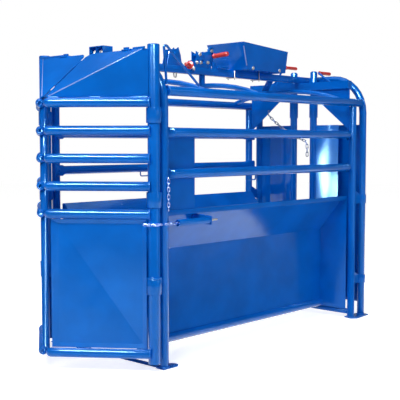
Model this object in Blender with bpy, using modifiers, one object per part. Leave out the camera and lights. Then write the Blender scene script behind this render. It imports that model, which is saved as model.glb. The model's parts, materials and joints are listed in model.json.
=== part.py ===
# Roping chute: a tube frame with two swinging nose gates, a two-leaf sliding rear gate,
# V-shaped side sheets, a top beam with the release levers and a tool tray.
# Metres, +Z up. X = 0 is the middle of the chute, the nose points to -Y, the ground is Z = 0.

import math

import bmesh
import bpy
from mathutils import Matrix, Vector

# Gap between pieces that touch, running clearances, and how far welded pieces run into each other
GAP = 0.0003
WELD = 0.002
PIN_CLEARANCE = 0.001
SLEEVE_CLEARANCE = 0.0015
TURNED_STEPS = 14

# Tube and sheet stock
HINGE_TUBE_OD = 0.073
GATE_RAIL_OD = 0.057
POST_OD = 0.056
SIDE_RAIL_OD = 0.060
BOTTOM_TUBE_OD = 0.060
BOW_OD = 0.036
SILL_TUBE_OD = 0.044
SHEET = 0.003
PLATE = 0.006
FOOT_PLATE = 0.008

# Frame
HINGE_SPACING = 1.023
BODY_LENGTH = 2.050
REAR_FRAME_GAP = 0.143
ARCH_TOP = 1.855
ARCH_BEND = 0.27
RAIL_HEIGHTS = (1.661, 1.415, 1.168)
RAIL_FLAT_LENGTH = 0.10
RAIL_FLAT_THICKNESS = 0.012
RAIL_FLAT_HEIGHT = 0.074
BOW_RISE = 0.076
BOW_STATIONS = (0.44, 0.98, 1.95)
BEAM = 0.050
CROSSBAR = 0.050
CROSSBAR_HEIGHT = 0.060

# Front gates
NOSE_DEPTH = 0.391
RAIL_OFFSET = 0.0287
GATE_RAIL_TOP = 1.588
GATE_RAIL_PITCH = 0.163
GATE_RAIL_COUNT = 5
GATE_FOOT_RAIL = 0.108
NOSE_CLEARANCE = 0.024827
HINGE_TUBE_FOOT = 0.045
HINGE_TUBE_TOP = 1.921
SLEEVE_WALL = 0.0065
SLEEVE_LENGTH = 0.090
SLEEVE_TO_POST = 0.011
NOSE_POST_OD = 0.047
HOOD_TOP = 1.896
HOOD_HEEL = 0.027
HOOD_NOTCH = 0.036
HOOD_SEAM_GAP = 0.007
PAN_BORDER = 0.026
PAN_DISH = 0.014

# Side sheets
LEDGE_ABOVE_RAIL = 0.009
LEDGE_SETBACK = 0.0295
LEDGE_LIP = 0.031
LEDGE_FLAT = 0.024
CREASE_HEIGHT = 0.677
THROAT_HALF_WIDTH = 0.244
SHIELD_LENGTH = 0.335

# Gate springs
SPRING_TUBE_OD = 0.042
SPRING_TUBE_BORE = 0.035
SPRING_TUBE_LENGTH = 0.278
SPRING_DROP = 0.070
SPRING_WIRE = 0.004
SPRING_CURLS = 8

# Chain
CHAIN_WIRE = 0.005
CHAIN_PITCH = 0.022
CHAIN_INSIDE_WIDTH = 0.008
CHAIN_BITE = 0.001
WRAP_CLEARANCE = 0.0008
WRAP_LINKS = 6
WRAP_TAIL = 0.055
HANGING_LINKS = 8

# Rear gate
REAR_TUBE_OD = 0.057
REAR_TUBE_X = 0.097
REAR_TUBE_TOP = 1.917
REAR_TUBE_FOOT = 0.085
REAR_COLLAR_OD = 0.068
REAR_COLLAR_LOW = 1.556
REAR_COLLAR_HIGH = 1.700
REAR_SHEET_TOP = 1.495
REAR_SHEET_OUTER = 0.335
WING_INNER = 0.262
BRACE_HEIGHTS = ((0.260, 0.320), (0.884, 0.951))
BRACE_COLLAR_WALL = 0.005
LEVER_ROD = 0.016
LEVER_PIN = 0.016
LEVER_PIVOT_X = 0.363
LEVER_PIVOT_Z = 1.795
LEVER_TIP_Z = 1.910
FAR_LEVER_LIFT = math.radians(18)
REAR_GRIP_LENGTH = 0.150
REAR_GRIP_OD = 0.028

# Rope guards
GUARD_TOP = 1.926
GUARD_REAR = 0.408

# Gussets under the rear crossbar
GUSSET_START = 0.087
GUSSET_DROP = 0.318

# Tool tray
TRAY_TOP_HALF_WIDTH = 0.175
TRAY_BASE_HALF_WIDTH = 0.150
TRAY_TOP_FRONT = 1.228
TRAY_TOP_REAR = 1.750
TRAY_BASE_FRONT = 1.300
TRAY_BASE_REAR = 1.752
TRAY_FRONT_HEIGHT = 0.190
TRAY_REAR_HEIGHT = 0.157

# Release gear on the beam
EAR_STATION = 0.680
CHEEK_STATION = 0.970
TRIP_STATION = 1.080
TRIP_GRIP_LENGTH = 0.132
TRIP_GRIP_OD = 0.033
KNOB_STATION = 0.845
KNOB_OD = 0.055
LATCH_X = -0.012
LATCH_HALF_WIDTH = 0.066
LATCH_HEIGHT = 0.070
LATCH_DEPTH = 0.080

# Places that follow from the sizes above
HALF = HINGE_SPACING / 2
HINGE_R = HINGE_TUBE_OD / 2
RAIL_R = GATE_RAIL_OD / 2
POST_R = POST_OD / 2
SLEEVE_R = HINGE_R + SLEEVE_CLEARANCE + SLEEVE_WALL
FRONT_Y = SLEEVE_R + SLEEVE_TO_POST + POST_R
REAR_Y = FRONT_Y + BODY_LENGTH
ARCH_Y = REAR_Y + REAR_FRAME_GAP
REAR_LEAF_Y = REAR_Y + REAR_FRAME_GAP / 2
LEVER_Y = REAR_LEAF_Y - 0.007
BEAM_Z = ARCH_TOP
BEAM_TOP = BEAM_Z + BEAM / 2
BEAM_BOTTOM = BEAM_Z - BEAM / 2
LEAF_LENGTH = math.hypot(HALF, NOSE_DEPTH)
GATE_RAIL_REACH = LEAF_LENGTH - NOSE_CLEARANCE
LEAF_ALONG = Vector((-HALF / LEAF_LENGTH, -NOSE_DEPTH / LEAF_LENGTH, 0))
NOSE_POST_ALONG = GATE_RAIL_REACH - 0.019
LEAF_OUT = Vector((NOSE_DEPTH / LEAF_LENGTH, -HALF / LEAF_LENGTH, 0))
GRIP_END_Y = LEVER_Y + LEVER_ROD + REAR_GRIP_LENGTH
NOSE_REACH = -(LEAF_ALONG.y * GATE_RAIL_REACH + LEAF_OUT.y * RAIL_OFFSET) + RAIL_R
HINGE_Y = (NOSE_REACH - GRIP_END_Y) / 2
RAIL_FLAT_X = HALF - POST_R - GAP - RAIL_FLAT_THICKNESS / 2
BOTTOM_TUBE_Z = 0.096
LEDGE_HEIGHT = GATE_RAIL_TOP - (GATE_RAIL_COUNT - 1) * GATE_RAIL_PITCH + LEDGE_ABOVE_RAIL
LEDGE_HALF_WIDTH = HALF - LEDGE_SETBACK
SPRING_HEIGHT = LEDGE_HEIGHT - SPRING_DROP
CHAIN_SPACING = CHAIN_PITCH + CHAIN_BITE
WRAP_R = HINGE_R + WRAP_CLEARANCE + CHAIN_INSIDE_WIDTH / 2 + CHAIN_WIRE
BOW_FOOT_X = HALF - 0.006
BOW_FOOT_Z = RAIL_HEIGHTS[0] + 0.016
HEADER_LOW = BEAM_BOTTOM - GAP - CROSSBAR_HEIGHT
HEADER_REACH = HALF - SIDE_RAIL_OD / 2 - GAP
SPRING_X = HALF + POST_R + SPRING_TUBE_OD / 2 + 0.001
SPRING_FRONT = FRONT_Y + 0.064
SPRING_REAR = SPRING_FRONT + SPRING_TUBE_LENGTH
SIDES = (("near", 1), ("far", -1))

# Finishes: name, sRGB colour, roughness, metallic
FINISHES = {
    "blue_powder_coat": ((0.0, 0.33, 0.74), 0.32, 0.0),
    "red_grip": ((0.86, 0.14, 0.11), 0.45, 0.0),
    "zinc_plate": ((0.76, 0.75, 0.72), 0.35, 1.0),
    "spring_steel": ((0.30, 0.30, 0.31), 0.40, 1.0),
}


def clear_file():
    for old in list(bpy.data.objects):
        bpy.data.objects.remove(old)


def make_collection(name):
    collection = bpy.data.collections.new(name)
    bpy.context.scene.collection.children.link(collection)
    return collection


def make_material(name):
    colour, roughness, metallic = FINISHES[name]
    material = bpy.data.materials.new(name)
    material.use_nodes = True
    shader = material.node_tree.nodes["Principled BSDF"]
    linear = [c / 12.92 if c <= 0.04045 else ((c + 0.055) / 1.055) ** 2.4 for c in colour]
    shader.inputs["Base Color"].default_value = (*linear, 1)
    shader.inputs["Roughness"].default_value = roughness
    shader.inputs["Metallic"].default_value = metallic
    return material


clear_file()
PARTS = make_collection("roping_chute")
MATERIALS = {name: make_material(name) for name in FINISHES}


# Points: the hinge line of the nose gates is y = 0 in the sizes, HINGE_Y in the file
def at(x, y, z):
    return Vector((x, y + HINGE_Y, z))


# A point on a nose gate: along it from its hinge axis, out from the axis plane, and up
def on_leaf(side, along, out, z):
    flat = Vector((HALF, 0, 0)) + LEAF_ALONG * along + LEAF_OUT * out
    return at(side * flat.x, flat.y, z)


# Closed meshes of one solid each
def frame_matrix(origin, axis_x, axis_y):
    axis_z = axis_x.cross(axis_y)
    matrix = Matrix((axis_x, axis_y, axis_z)).transposed().to_4x4()
    matrix.translation = origin
    return matrix


def solid_box(low, high):
    bm = bmesh.new()
    size = high - low
    bmesh.ops.create_cube(bm, size=1, matrix=Matrix.Diagonal((*size, 1)))
    bmesh.ops.translate(bm, verts=bm.verts, vec=(low + high) / 2)
    return bm


def solid_rod(start, end, radius, sides=12, end_radius=None):
    bm = bmesh.new()
    length = (end - start).length
    turn = (end - start).to_track_quat("Z", "Y").to_matrix().to_4x4()
    turn.translation = (start + end) / 2
    tip = radius if end_radius is None else end_radius
    bmesh.ops.create_cone(bm, cap_ends=True, segments=sides, radius1=radius, radius2=tip,
                          depth=length, matrix=turn)
    return bm


def curve_solid(curve, matrix):
    holder = bpy.data.objects.new("curve", curve)
    bpy.context.scene.collection.objects.link(holder)
    graph = bpy.context.evaluated_depsgraph_get()
    mesh = bpy.data.meshes.new_from_object(holder.evaluated_get(graph))
    bpy.data.objects.remove(holder)
    bpy.data.curves.remove(curve)
    bm = bmesh.new()
    bm.from_mesh(mesh)
    bpy.data.meshes.remove(mesh)
    bmesh.ops.remove_doubles(bm, verts=bm.verts, dist=0.00001)
    bmesh.ops.transform(bm, matrix=matrix, verts=bm.verts)
    bmesh.ops.recalc_face_normals(bm, faces=bm.faces)
    return bm


def add_spline(curve, points, cyclic):
    spline = curve.splines.new("POLY")
    spline.points.add(len(points) - 1)
    for place, point in zip(spline.points, points):
        place.co = (*point, 1)
    spline.use_cyclic_u = cyclic


# A flat outline with its holes, half the thickness to each side of the frame's plane
def solid_plate(outline, thickness, origin, axis_x, axis_y, holes=()):
    curve = bpy.data.curves.new("outline", "CURVE")
    curve.dimensions = "2D"
    curve.fill_mode = "BOTH"
    curve.extrude = thickness / 2
    for loop in (outline, *holes):
        add_spline(curve, [(x, y, 0) for x, y in loop], True)
    return curve_solid(curve, frame_matrix(origin, axis_x, axis_y))


def solid_tube_path(points, radius, resolution=2, closed=False):
    curve = bpy.data.curves.new("path", "CURVE")
    curve.dimensions = "3D"
    curve.bevel_depth = radius
    curve.bevel_resolution = resolution
    curve.use_fill_caps = not closed
    add_spline(curve, [tuple(p) for p in points], closed)
    return curve_solid(curve, Matrix.Identity(4))


def circle(radius, x=0.0, y=0.0, sides=16):
    step = 2 * math.pi / sides
    return [(x + radius * math.cos(i * step), y + radius * math.sin(i * step)) for i in range(sides)]


# The bore is measured across its flats, so that a round piece of that size goes through
def solid_ring(outer, bore, low, high, sides=16):
    axis = (high - low).normalized()
    across = axis.orthogonal().normalized()
    corner = bore / math.cos(math.pi / sides)
    return solid_plate(circle(outer, sides=sides), (high - low).length, (low + high) / 2,
                       across, axis.cross(across), [circle(corner, sides=sides)])


# A turned solid: radii and heights from the start along the axis, the ends joined for a ring
def turned_solid(profile, start, axis, ring=False):
    mesh = bpy.data.meshes.new("profile")
    last = len(profile) if ring else len(profile) - 1
    edges = [(i, (i + 1) % len(profile)) for i in range(last)]
    mesh.from_pydata([(r, 0, h) for r, h in profile], edges, [])
    holder = bpy.data.objects.new("profile", mesh)
    bpy.context.scene.collection.objects.link(holder)
    turned = holder.modifiers.new("turned", "SCREW")
    turned.steps = TURNED_STEPS
    turned.render_steps = TURNED_STEPS
    turned.use_merge_vertices = True
    turned.merge_threshold = 0.00005
    bm = evaluated(holder)
    bmesh.ops.remove_doubles(bm, verts=bm.verts, dist=0.00005)
    bmesh.ops.recalc_face_normals(bm, faces=bm.faces)
    matrix = axis.normalized().to_track_quat("Z", "Y").to_matrix().to_4x4()
    matrix.translation = start
    bmesh.ops.transform(bm, matrix=matrix, verts=bm.verts)
    return bm


# Corners of a bent tube's centre line, rounded to arcs
def rounded_path(corners, radius, steps=6):
    path = [corners[0]]
    for before, corner, after in zip(corners, corners[1:], corners[2:]):
        arms = ((before - corner).normalized(), (after - corner).normalized())
        half = arms[0].angle(arms[1]) / 2
        reach = radius / math.tan(half)
        centre = corner + (arms[0] + arms[1]).normalized() * radius / math.sin(half)
        start = corner + arms[0] * reach - centre
        end = corner + arms[1] * reach - centre
        turn = start.angle(end)
        for i in range(steps + 1):
            share = i / steps
            weight_a = math.sin((1 - share) * turn) / math.sin(turn)
            weight_b = math.sin(share * turn) / math.sin(turn)
            path.append(centre + start * weight_a + end * weight_b)
    path.append(corners[-1])
    return path


# An open sheet, thickened to both sides
def solid_sheet(points, faces, thickness):
    mesh = bpy.data.meshes.new("sheet")
    mesh.from_pydata([tuple(p) for p in points], [], faces)
    holder = bpy.data.objects.new("sheet", mesh)
    bpy.context.scene.collection.objects.link(holder)
    thicken = holder.modifiers.new("thickness", "SOLIDIFY")
    thicken.thickness = thickness
    thicken.offset = 0
    thicken.use_even_offset = True
    return evaluated(holder)


def evaluated(holder):
    graph = bpy.context.evaluated_depsgraph_get()
    mesh = bpy.data.meshes.new_from_object(holder.evaluated_get(graph))
    old = holder.data
    bpy.data.objects.remove(holder)
    bpy.data.meshes.remove(old)
    bm = bmesh.new()
    bm.from_mesh(mesh)
    bpy.data.meshes.remove(mesh)
    bmesh.ops.recalc_face_normals(bm, faces=bm.faces)
    return bm


def holder_of(bm, name):
    mesh = bpy.data.meshes.new(name)
    bm.to_mesh(mesh)
    bm.free()
    holder = bpy.data.objects.new(name, mesh)
    bpy.context.scene.collection.objects.link(holder)
    return holder


def combine(operation, first, others):
    holder = holder_of(first, "blank")
    tools = [holder_of(other, "tool") for other in others]
    for tool in tools:
        step = holder.modifiers.new(operation, "BOOLEAN")
        step.operation = operation
        step.object = tool
    result = evaluated(holder)
    for tool in tools:
        mesh = tool.data
        bpy.data.objects.remove(tool)
        bpy.data.meshes.remove(mesh)
    return result


def cut(solid, *cutters):
    return combine("DIFFERENCE", solid, cutters)


def weld(first, *others):
    return combine("UNION", first, others)


# One node, with its origin on its own axis or at the hinge line
def node(name, finish, solid, origin=None):
    place = origin if origin is not None else at(0, 0, 0)
    bmesh.ops.translate(solid, verts=solid.verts, vec=-place)
    mesh = bpy.data.meshes.new(name)
    solid.to_mesh(mesh)
    solid.free()
    mesh.shade_smooth()
    mesh.set_sharp_from_angle(angle=math.radians(35))
    piece = bpy.data.objects.new(name, mesh)
    piece.location = place
    piece.data.materials.append(MATERIALS[finish])
    PARTS.objects.link(piece)
    return piece


def hex_head(place, direction, across=0.019, height=0.009):
    axis = direction.normalized()
    return solid_rod(place - axis * WELD, place + axis * height, across / 2, sides=6)


# Chain: taut links along a route, each one turned a quarter against the next and biting into it
def link_points(centre, along, flat):
    bend = CHAIN_INSIDE_WIDTH / 2 + CHAIN_WIRE / 2
    straight = (CHAIN_PITCH + CHAIN_WIRE) / 2 - bend
    points = []
    for end in (1, -1):
        for i in range(4):
            angle = math.pi * (i / 3 - 0.5)
            reach = end * (straight + bend * math.cos(angle))
            points.append(centre + along * reach + flat * (end * bend * math.sin(angle)))
    return points


def route_point(route, distance):
    for start, end in zip(route, route[1:]):
        length = (end - start).length
        if distance <= length:
            return start.lerp(end, distance / length)
        distance -= length
    return route[-1] + (route[-1] - route[-2]).normalized() * distance


def chain(route, face, count=None):
    total = sum((b - a).length for a, b in zip(route, route[1:]))
    links = []
    number = count if count is not None else int(total / CHAIN_SPACING)
    for i in range(number):
        start = route_point(route, i * CHAIN_SPACING)
        end = route_point(route, (i + 1) * CHAIN_SPACING)
        along = (end - start).normalized()
        centre = (start + end) / 2
        side = along.cross(face(centre)).normalized()
        turn = Matrix.Rotation(math.pi / 4 + (i % 2) * math.pi / 2, 3, along)
        points = link_points(centre, along, turn @ side)
        links.append(solid_tube_path(points, CHAIN_WIRE / 2, 0, closed=True))
    return links


# Ground frame and posts
def arch_path(y, half):
    foot = FOOT_PLATE + GAP
    corners = [at(-half, y, foot), at(-half, y, ARCH_TOP), at(half, y, ARCH_TOP), at(half, y, foot)]
    return rounded_path(corners, ARCH_BEND, 8)


def build_frame():
    front = solid_tube_path(arch_path(FRONT_Y, HALF), POST_R, 4)
    node("front_arch", "blue_powder_coat", weld(front, *hinge_sleeves()))
    rear = solid_tube_path(arch_path(ARCH_Y, HALF), POST_R, 4)
    node("rear_arch", "blue_powder_coat", weld(rear, rear_wing(1), rear_wing(-1)))
    sill_end = HALF - POST_R - WELD
    bar = solid_box(at(-sill_end, FRONT_Y - 0.022, 0), at(sill_end, FRONT_Y + 0.016, 0.010))
    node("front_sill", "blue_powder_coat", weld(bar, front_foot(1), front_foot(-1)))
    rail_under = RAIL_HEIGHTS[0] - SIDE_RAIL_OD / 2 - GAP
    reach = HALF - POST_R + WELD
    height = SILL_TUBE_OD / 2 + 0.025
    pieces = [solid_rod(at(-reach, REAR_Y, height), at(reach, REAR_Y, height), SILL_TUBE_OD / 2, 12)]
    for side in (1, -1):
        foot = at(side * HALF, REAR_Y, FOOT_PLATE - WELD)
        pieces.append(solid_rod(foot, at(side * HALF, REAR_Y, rail_under), POST_R, 16))
        pieces.append(rear_foot(side))
        pieces += arch_braces(side)
    node("rear_posts", "blue_powder_coat", weld(*pieces))


# Fixed sheet between the rear arch and the opening, behind the sliding leaf
def rear_wing(side):
    outer = HALF - POST_R + WELD
    notch = HALF - POST_R - BRACE_COLLAR_WALL - GAP
    low = REAR_TUBE_FOOT + 0.02
    edge = [(WING_INNER, low), (outer, low)]
    for brace_low, brace_high in BRACE_HEIGHTS:
        edge += [(outer, brace_low - GAP), (notch, brace_low - GAP), (notch, brace_high + GAP),
                 (outer, brace_high + GAP)]
    edge += [(outer, REAR_SHEET_TOP), (WING_INNER, REAR_SHEET_TOP)]
    outline = [(side * x, z) for x, z in edge]
    return solid_plate(outline, SHEET, at(0, ARCH_Y, 0), Vector((1, 0, 0)), Vector((0, 0, 1)))


# Foot plate with a round-ended lug for a ground stake
def front_foot(side):
    lug = 0.040
    lug_y = FRONT_Y + 0.072
    front = FRONT_Y - POST_R - 0.008
    arc = [(HALF - 0.008 + lug * math.cos(a), lug_y + lug * math.sin(a))
           for a in (math.pi * i / 8 for i in range(9))]
    outline = arc + [(HALF - 0.036, front), (HALF + 0.030, front)]
    hole = circle(0.010, HALF - 0.008, lug_y + 0.010, 12)
    return solid_plate([(side * x, y) for x, y in outline], FOOT_PLATE, at(0, 0, FOOT_PLATE / 2),
                       Vector((1, 0, 0)), Vector((0, 1, 0)), [[(side * x, y) for x, y in hole]])


def rear_foot(side):
    outline = [(HALF - 0.045, REAR_Y - 0.020), (HALF + 0.025, REAR_Y - 0.042),
               (HALF + 0.062, REAR_Y - 0.006), (HALF + 0.050, ARCH_Y + 0.036),
               (HALF - 0.045, ARCH_Y + 0.048)]
    return solid_plate([(side * x, y) for x, y in outline], FOOT_PLATE, at(0, 0, FOOT_PLATE / 2),
                       Vector((1, 0, 0)), Vector((0, 1, 0)))


# A rail whose ends are pressed flat and lap the inner side of the posts
def flat_ended_rail(side, z, y_start, y_end):
    bm = solid_rod(at(side * HALF, y_start, z), at(side * HALF, y_end, z), SIDE_RAIL_OD / 2, 16)
    for y in (y_start + RAIL_FLAT_LENGTH, y_start + RAIL_FLAT_LENGTH * 0.62,
              y_end - RAIL_FLAT_LENGTH, y_end - RAIL_FLAT_LENGTH * 0.62):
        bmesh.ops.bisect_plane(bm, geom=bm.verts[:] + bm.edges[:] + bm.faces[:],
                               plane_co=at(0, y, z), plane_no=(0, 1, 0))
    for vert in bm.verts:
        y = vert.co.y - HINGE_Y
        if min(y - y_start, y_end - y) < RAIL_FLAT_LENGTH * 0.8:
            across = (vert.co.x - side * HALF) * RAIL_FLAT_THICKNESS / SIDE_RAIL_OD
            vert.co.x = side * RAIL_FLAT_X + across
            vert.co.z = z + (vert.co.z - z) * RAIL_FLAT_HEIGHT / SIDE_RAIL_OD
    return bm


def build_side_rails():
    lap = POST_R + 0.004
    inner = RAIL_FLAT_X - RAIL_FLAT_THICKNESS / 2
    for name, side in SIDES:
        z = RAIL_HEIGHTS[0]
        node(f"{name}_top_rail", "blue_powder_coat",
             solid_rod(at(side * HALF, FRONT_Y + POST_R + GAP, z), at(side * HALF, ARCH_Y - POST_R - GAP, z),
                       SIDE_RAIL_OD / 2, 16))
        for level, z in zip(("middle", "lower"), RAIL_HEIGHTS[1:]):
            extras = [hex_head(at(side * inner, y, z), Vector((-side, 0, 0))) for y in (FRONT_Y, REAR_Y)]
            if level == "lower":
                extras.append(rope_staple(side))
            rail = flat_ended_rail(side, z, FRONT_Y - lap, REAR_Y + lap)
            node(f"{name}_{level}_rail", "blue_powder_coat", weld(rail, *extras))


# Rope staple under a lower rail
def rope_staple(side):
    low = 1.109
    top = RAIL_HEIGHTS[2] - SIDE_RAIL_OD / 2 + WELD
    corners = [at(side * HALF, 0.866, top), at(side * HALF, 0.866, low), at(side * HALF, 0.948, low),
               at(side * HALF, 0.948, top)]
    return solid_tube_path(rounded_path(corners, 0.012, 3), 0.005, 1)


# Cross bows between the top rails, coped to the rails
def bow_height(x):
    return BOW_FOOT_Z + BOW_RISE * (1 - abs(x / BOW_FOOT_X) ** 2.4)


def build_bows():
    for name, y in zip(("front", "middle", "rear"), BOW_STATIONS):
        points = []
        for i in range(11):
            x = BOW_FOOT_X * (i / 5 - 1)
            points.append(at(x, y, bow_height(x)))
        rails = [solid_rod(at(s * HALF, y - 0.1, RAIL_HEIGHTS[0]), at(s * HALF, y + 0.1, RAIL_HEIGHTS[0]),
                           SIDE_RAIL_OD / 2 + GAP, 16) for s in (1, -1)]
        bow = cut(solid_tube_path(points, BOW_OD / 2, 3), *rails)
        if name == "middle":
            half = 0.015
            stand = solid_box(at(-half, y - half, bow_height(0)), at(half, y + half, BEAM_BOTTOM - GAP))
            bow = weld(bow, stand)
        node(f"{name}_roof_bow", "blue_powder_coat", bow)


def build_beam():
    half = BEAM / 2
    beam_end = ARCH_Y - POST_R - GAP
    beam = solid_box(at(-half, FRONT_Y + POST_R + GAP, BEAM_BOTTOM), at(half, beam_end, BEAM_TOP))
    node("top_beam", "blue_powder_coat", weld(beam, beam_brace()))
    low = HEADER_LOW
    reach = HEADER_REACH
    pieces = [solid_box(at(-reach, REAR_Y - CROSSBAR / 2, low),
                        at(reach, REAR_Y + CROSSBAR / 2, BEAM_BOTTOM - GAP))]
    for side in (1, -1):
        outline = [(side * reach, low + WELD), (side * GUSSET_START, low + WELD), (side * GUSSET_START, low),
                   (side * reach, low - GUSSET_DROP)]
        pieces.append(solid_plate(outline, PLATE, at(0, REAR_Y, 0), Vector((1, 0, 0)), Vector((0, 0, 1))))
        pieces.append(lever_pin(side))
    node("rear_header", "blue_powder_coat", weld(*pieces))


# The lower edge of a gusset at a distance from the middle
def gusset_edge(x):
    return HEADER_LOW - GUSSET_DROP * (x - GUSSET_START) / (HEADER_REACH - GUSSET_START)


# A flat strut from under the beam down to the top of the rear bow
def beam_brace():
    foot_x = 0.193
    foot_y = BOW_STATIONS[2] - 0.005
    start = at(-0.010, foot_y - 0.170, BEAM_BOTTOM + 0.004)
    end = at(-foot_x, foot_y, bow_height(foot_x) + BOW_OD / 2 + PLATE)
    along = (end - start).normalized()
    across = along.cross(Vector((0, 0, 1))).normalized()
    length = (end - start).length
    half_strip = 0.026
    strip = [(0, -half_strip), (length, -half_strip), (length, half_strip), (0, half_strip)]
    return solid_plate(strip, PLATE, start, along, across)


# Hinge sleeves on the front posts, with the weld blocks that hold them off
def sleeve_heights():
    top_rail_under = GATE_RAIL_TOP - RAIL_R
    fourth_rail_under = GATE_RAIL_TOP - 3 * GATE_RAIL_PITCH - RAIL_R
    return (top_rail_under - 0.001, fourth_rail_under - 0.006, 0.552)


def hinge_sleeves():
    pieces = []
    for side in (1, -1):
        for top in sleeve_heights():
            low = top - SLEEVE_LENGTH
            pieces.append(solid_ring(SLEEVE_R, HINGE_R + SLEEVE_CLEARANCE, at(side * HALF, 0, low),
                                     at(side * HALF, 0, top), 16))
            pieces.append(solid_box(at(side * HALF - 0.008, SLEEVE_R - WELD, low + 0.008),
                                    at(side * HALF + 0.008, FRONT_Y - POST_R + 2 * WELD, top - 0.008)))
    return pieces


# Nose gates
def gate_rail_heights():
    upper = [GATE_RAIL_TOP - i * GATE_RAIL_PITCH for i in range(GATE_RAIL_COUNT)]
    return upper + [GATE_FOOT_RAIL]


def dome_rail(side, z):
    start = on_leaf(side, 0.018, RAIL_OFFSET, z)
    end = on_leaf(side, GATE_RAIL_REACH, RAIL_OFFSET, z)
    along = (end - start).normalized()
    bm = solid_rod(start, end, RAIL_R, 16)
    ends = [face for face in bm.faces if len(face.verts) > 4]
    cap = max(ends, key=lambda face: face.calc_center_median().dot(along))
    for tilt in (math.radians(30), math.radians(62)):
        moved = bmesh.ops.extrude_face_region(bm, geom=[cap])
        bmesh.ops.delete(bm, geom=[cap], context="FACES_ONLY")
        cap = next(item for item in moved["geom"] if isinstance(item, bmesh.types.BMFace))
        centre = cap.calc_center_median()
        radius = (cap.verts[0].co - centre).length
        target = end + along * RAIL_R * math.sin(tilt)
        for vert in cap.verts:
            vert.co = target + (vert.co - centre) * (RAIL_R * math.cos(tilt) / radius)
    return bm


def hood(side):
    base = GATE_RAIL_TOP + RAIL_R + GAP + SHEET
    nose = on_leaf(side, GATE_RAIL_REACH + 0.008, RAIL_OFFSET, base)
    heel = on_leaf(side, HOOD_HEEL, RAIL_OFFSET, base)
    heel_top = on_leaf(side, HOOD_HEEL, RAIL_OFFSET, HOOD_TOP)
    peak = on_leaf(side, 0.063, RAIL_OFFSET, HOOD_TOP)
    seam_top = Vector((side * HOOD_SEAM_GAP, peak.y, HOOD_TOP))
    seam_foot = Vector((side * HOOD_SEAM_GAP, nose.y, nose.z))
    across = (peak - seam_top).normalized()
    down = (seam_foot - seam_top).normalized()
    notch_out = seam_top + across * HOOD_NOTCH
    notch_in = seam_top + down * HOOD_NOTCH
    bend = seam_top + (across + down) * HOOD_NOTCH * 0.4
    points = [nose, heel, heel_top, peak, notch_out, bend, notch_in, seam_foot]
    faces = [(0, 1, 2, 3), (0, 3, 4, 5, 6, 7)]
    if side < 0:
        faces = [tuple(reversed(face)) for face in faces]
    return solid_sheet(points, faces, SHEET)


def pan(side, end):
    low = GATE_FOOT_RAIL + RAIL_R + GAP + 0.002
    high = gate_rail_heights()[GATE_RAIL_COUNT - 1] - RAIL_R - GAP - 0.002
    start = 0.041
    out = RAIL_OFFSET - 0.004
    border = PAN_BORDER
    corners = [(start, low), (end, low), (end, high), (start, high)]
    inner = [(start + border, low + border), (end - border * 1.6, low + border),
             (end - border * 1.6, high - border), (start + border, high - border)]
    points = [on_leaf(side, a, out, z) for a, z in corners]
    points += [on_leaf(side, a, out - PAN_DISH, z) for a, z in inner]
    faces = [(0, 1, 5, 4), (1, 2, 6, 5), (2, 3, 7, 6), (3, 0, 4, 7), (4, 5, 6, 7)]
    sheet = solid_sheet(points, faces, SHEET)
    sleeve_top = sleeve_heights()[2]
    notch = solid_rod(at(side * HALF, 0, sleeve_top - SLEEVE_LENGTH - 0.006),
                      at(side * HALF, 0, sleeve_top + 0.020), SLEEVE_R + 0.004, 20)
    return cut(sheet, notch)


def build_nose_gates():
    for name, side in SIDES:
        axis = at(side * HALF, 0, 0)
        up = Vector((0, 0, 1))
        tube = solid_rod(axis + up * HINGE_TUBE_FOOT, axis + up * HINGE_TUBE_TOP, HINGE_R, 20)
        cap = solid_rod(axis + up * (HINGE_TUBE_TOP - WELD), axis + up * (HINGE_TUBE_TOP + 0.004),
                        HINGE_R - 0.001, 20, HINGE_R - 0.004)
        sleeve_top = sleeve_heights()[2]
        ring = solid_rod(axis + up * (sleeve_top + GAP), axis + up * (sleeve_top + 0.012), SLEEVE_R, 20)
        pieces = [tube, cap, ring] + [dome_rail(side, z) for z in gate_rail_heights()]
        pan_end = GATE_RAIL_REACH - 0.007
        if side < 0:
            pieces.append(nose_post())
            pan_end = NOSE_POST_ALONG - NOSE_POST_OD / 2 - GAP
        node(f"{name}_gate_frame", "blue_powder_coat", weld(*pieces), axis)
        node(f"{name}_gate_hood", "blue_powder_coat", hood(side), axis)
        node(f"{name}_gate_pan", "blue_powder_coat", pan(side, pan_end), axis)


# The stop post at the nose end of the far gate
def nose_post():
    low = on_leaf(-1, NOSE_POST_ALONG, 0.011, GATE_FOOT_RAIL)
    high = on_leaf(-1, NOSE_POST_ALONG, 0.011, GATE_RAIL_TOP)
    return solid_rod(low, high, NOSE_POST_OD / 2, 16)


# Side sheets: a lip, a ledge, a slanted sheet to the crease and an upright foot sheet
def sheet_profile():
    lip = LEDGE_HALF_WIDTH
    outer = [(lip, LEDGE_HEIGHT - LEDGE_LIP), (lip, LEDGE_HEIGHT), (lip - LEDGE_FLAT, LEDGE_HEIGHT),
             (THROAT_HALF_WIDTH, CREASE_HEIGHT), (THROAT_HALF_WIDTH, BOTTOM_TUBE_Z + BOTTOM_TUBE_OD * 0.35)]
    return outer


# Both sides of a bent strip of sheet, mitred at its corners
def strip_outline(line, thickness):
    sides = ([], [])
    for i, point in enumerate(line):
        before = line[max(i - 1, 0)]
        after = line[min(i + 1, len(line) - 1)]
        normals = []
        for a, b in ((before, point), (point, after)):
            length = math.hypot(b[0] - a[0], b[1] - a[1])
            if length > 0:
                normals.append(Vector((-(b[1] - a[1]) / length, (b[0] - a[0]) / length)))
        middle = sum(normals, Vector((0, 0))).normalized()
        reach = thickness / 2 / middle.dot(normals[0])
        sides[0].append((point[0] + middle.x * reach, point[1] + middle.y * reach))
        sides[1].append((point[0] - middle.x * reach, point[1] - middle.y * reach))
    return sides[0] + sides[1][::-1]


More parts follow.
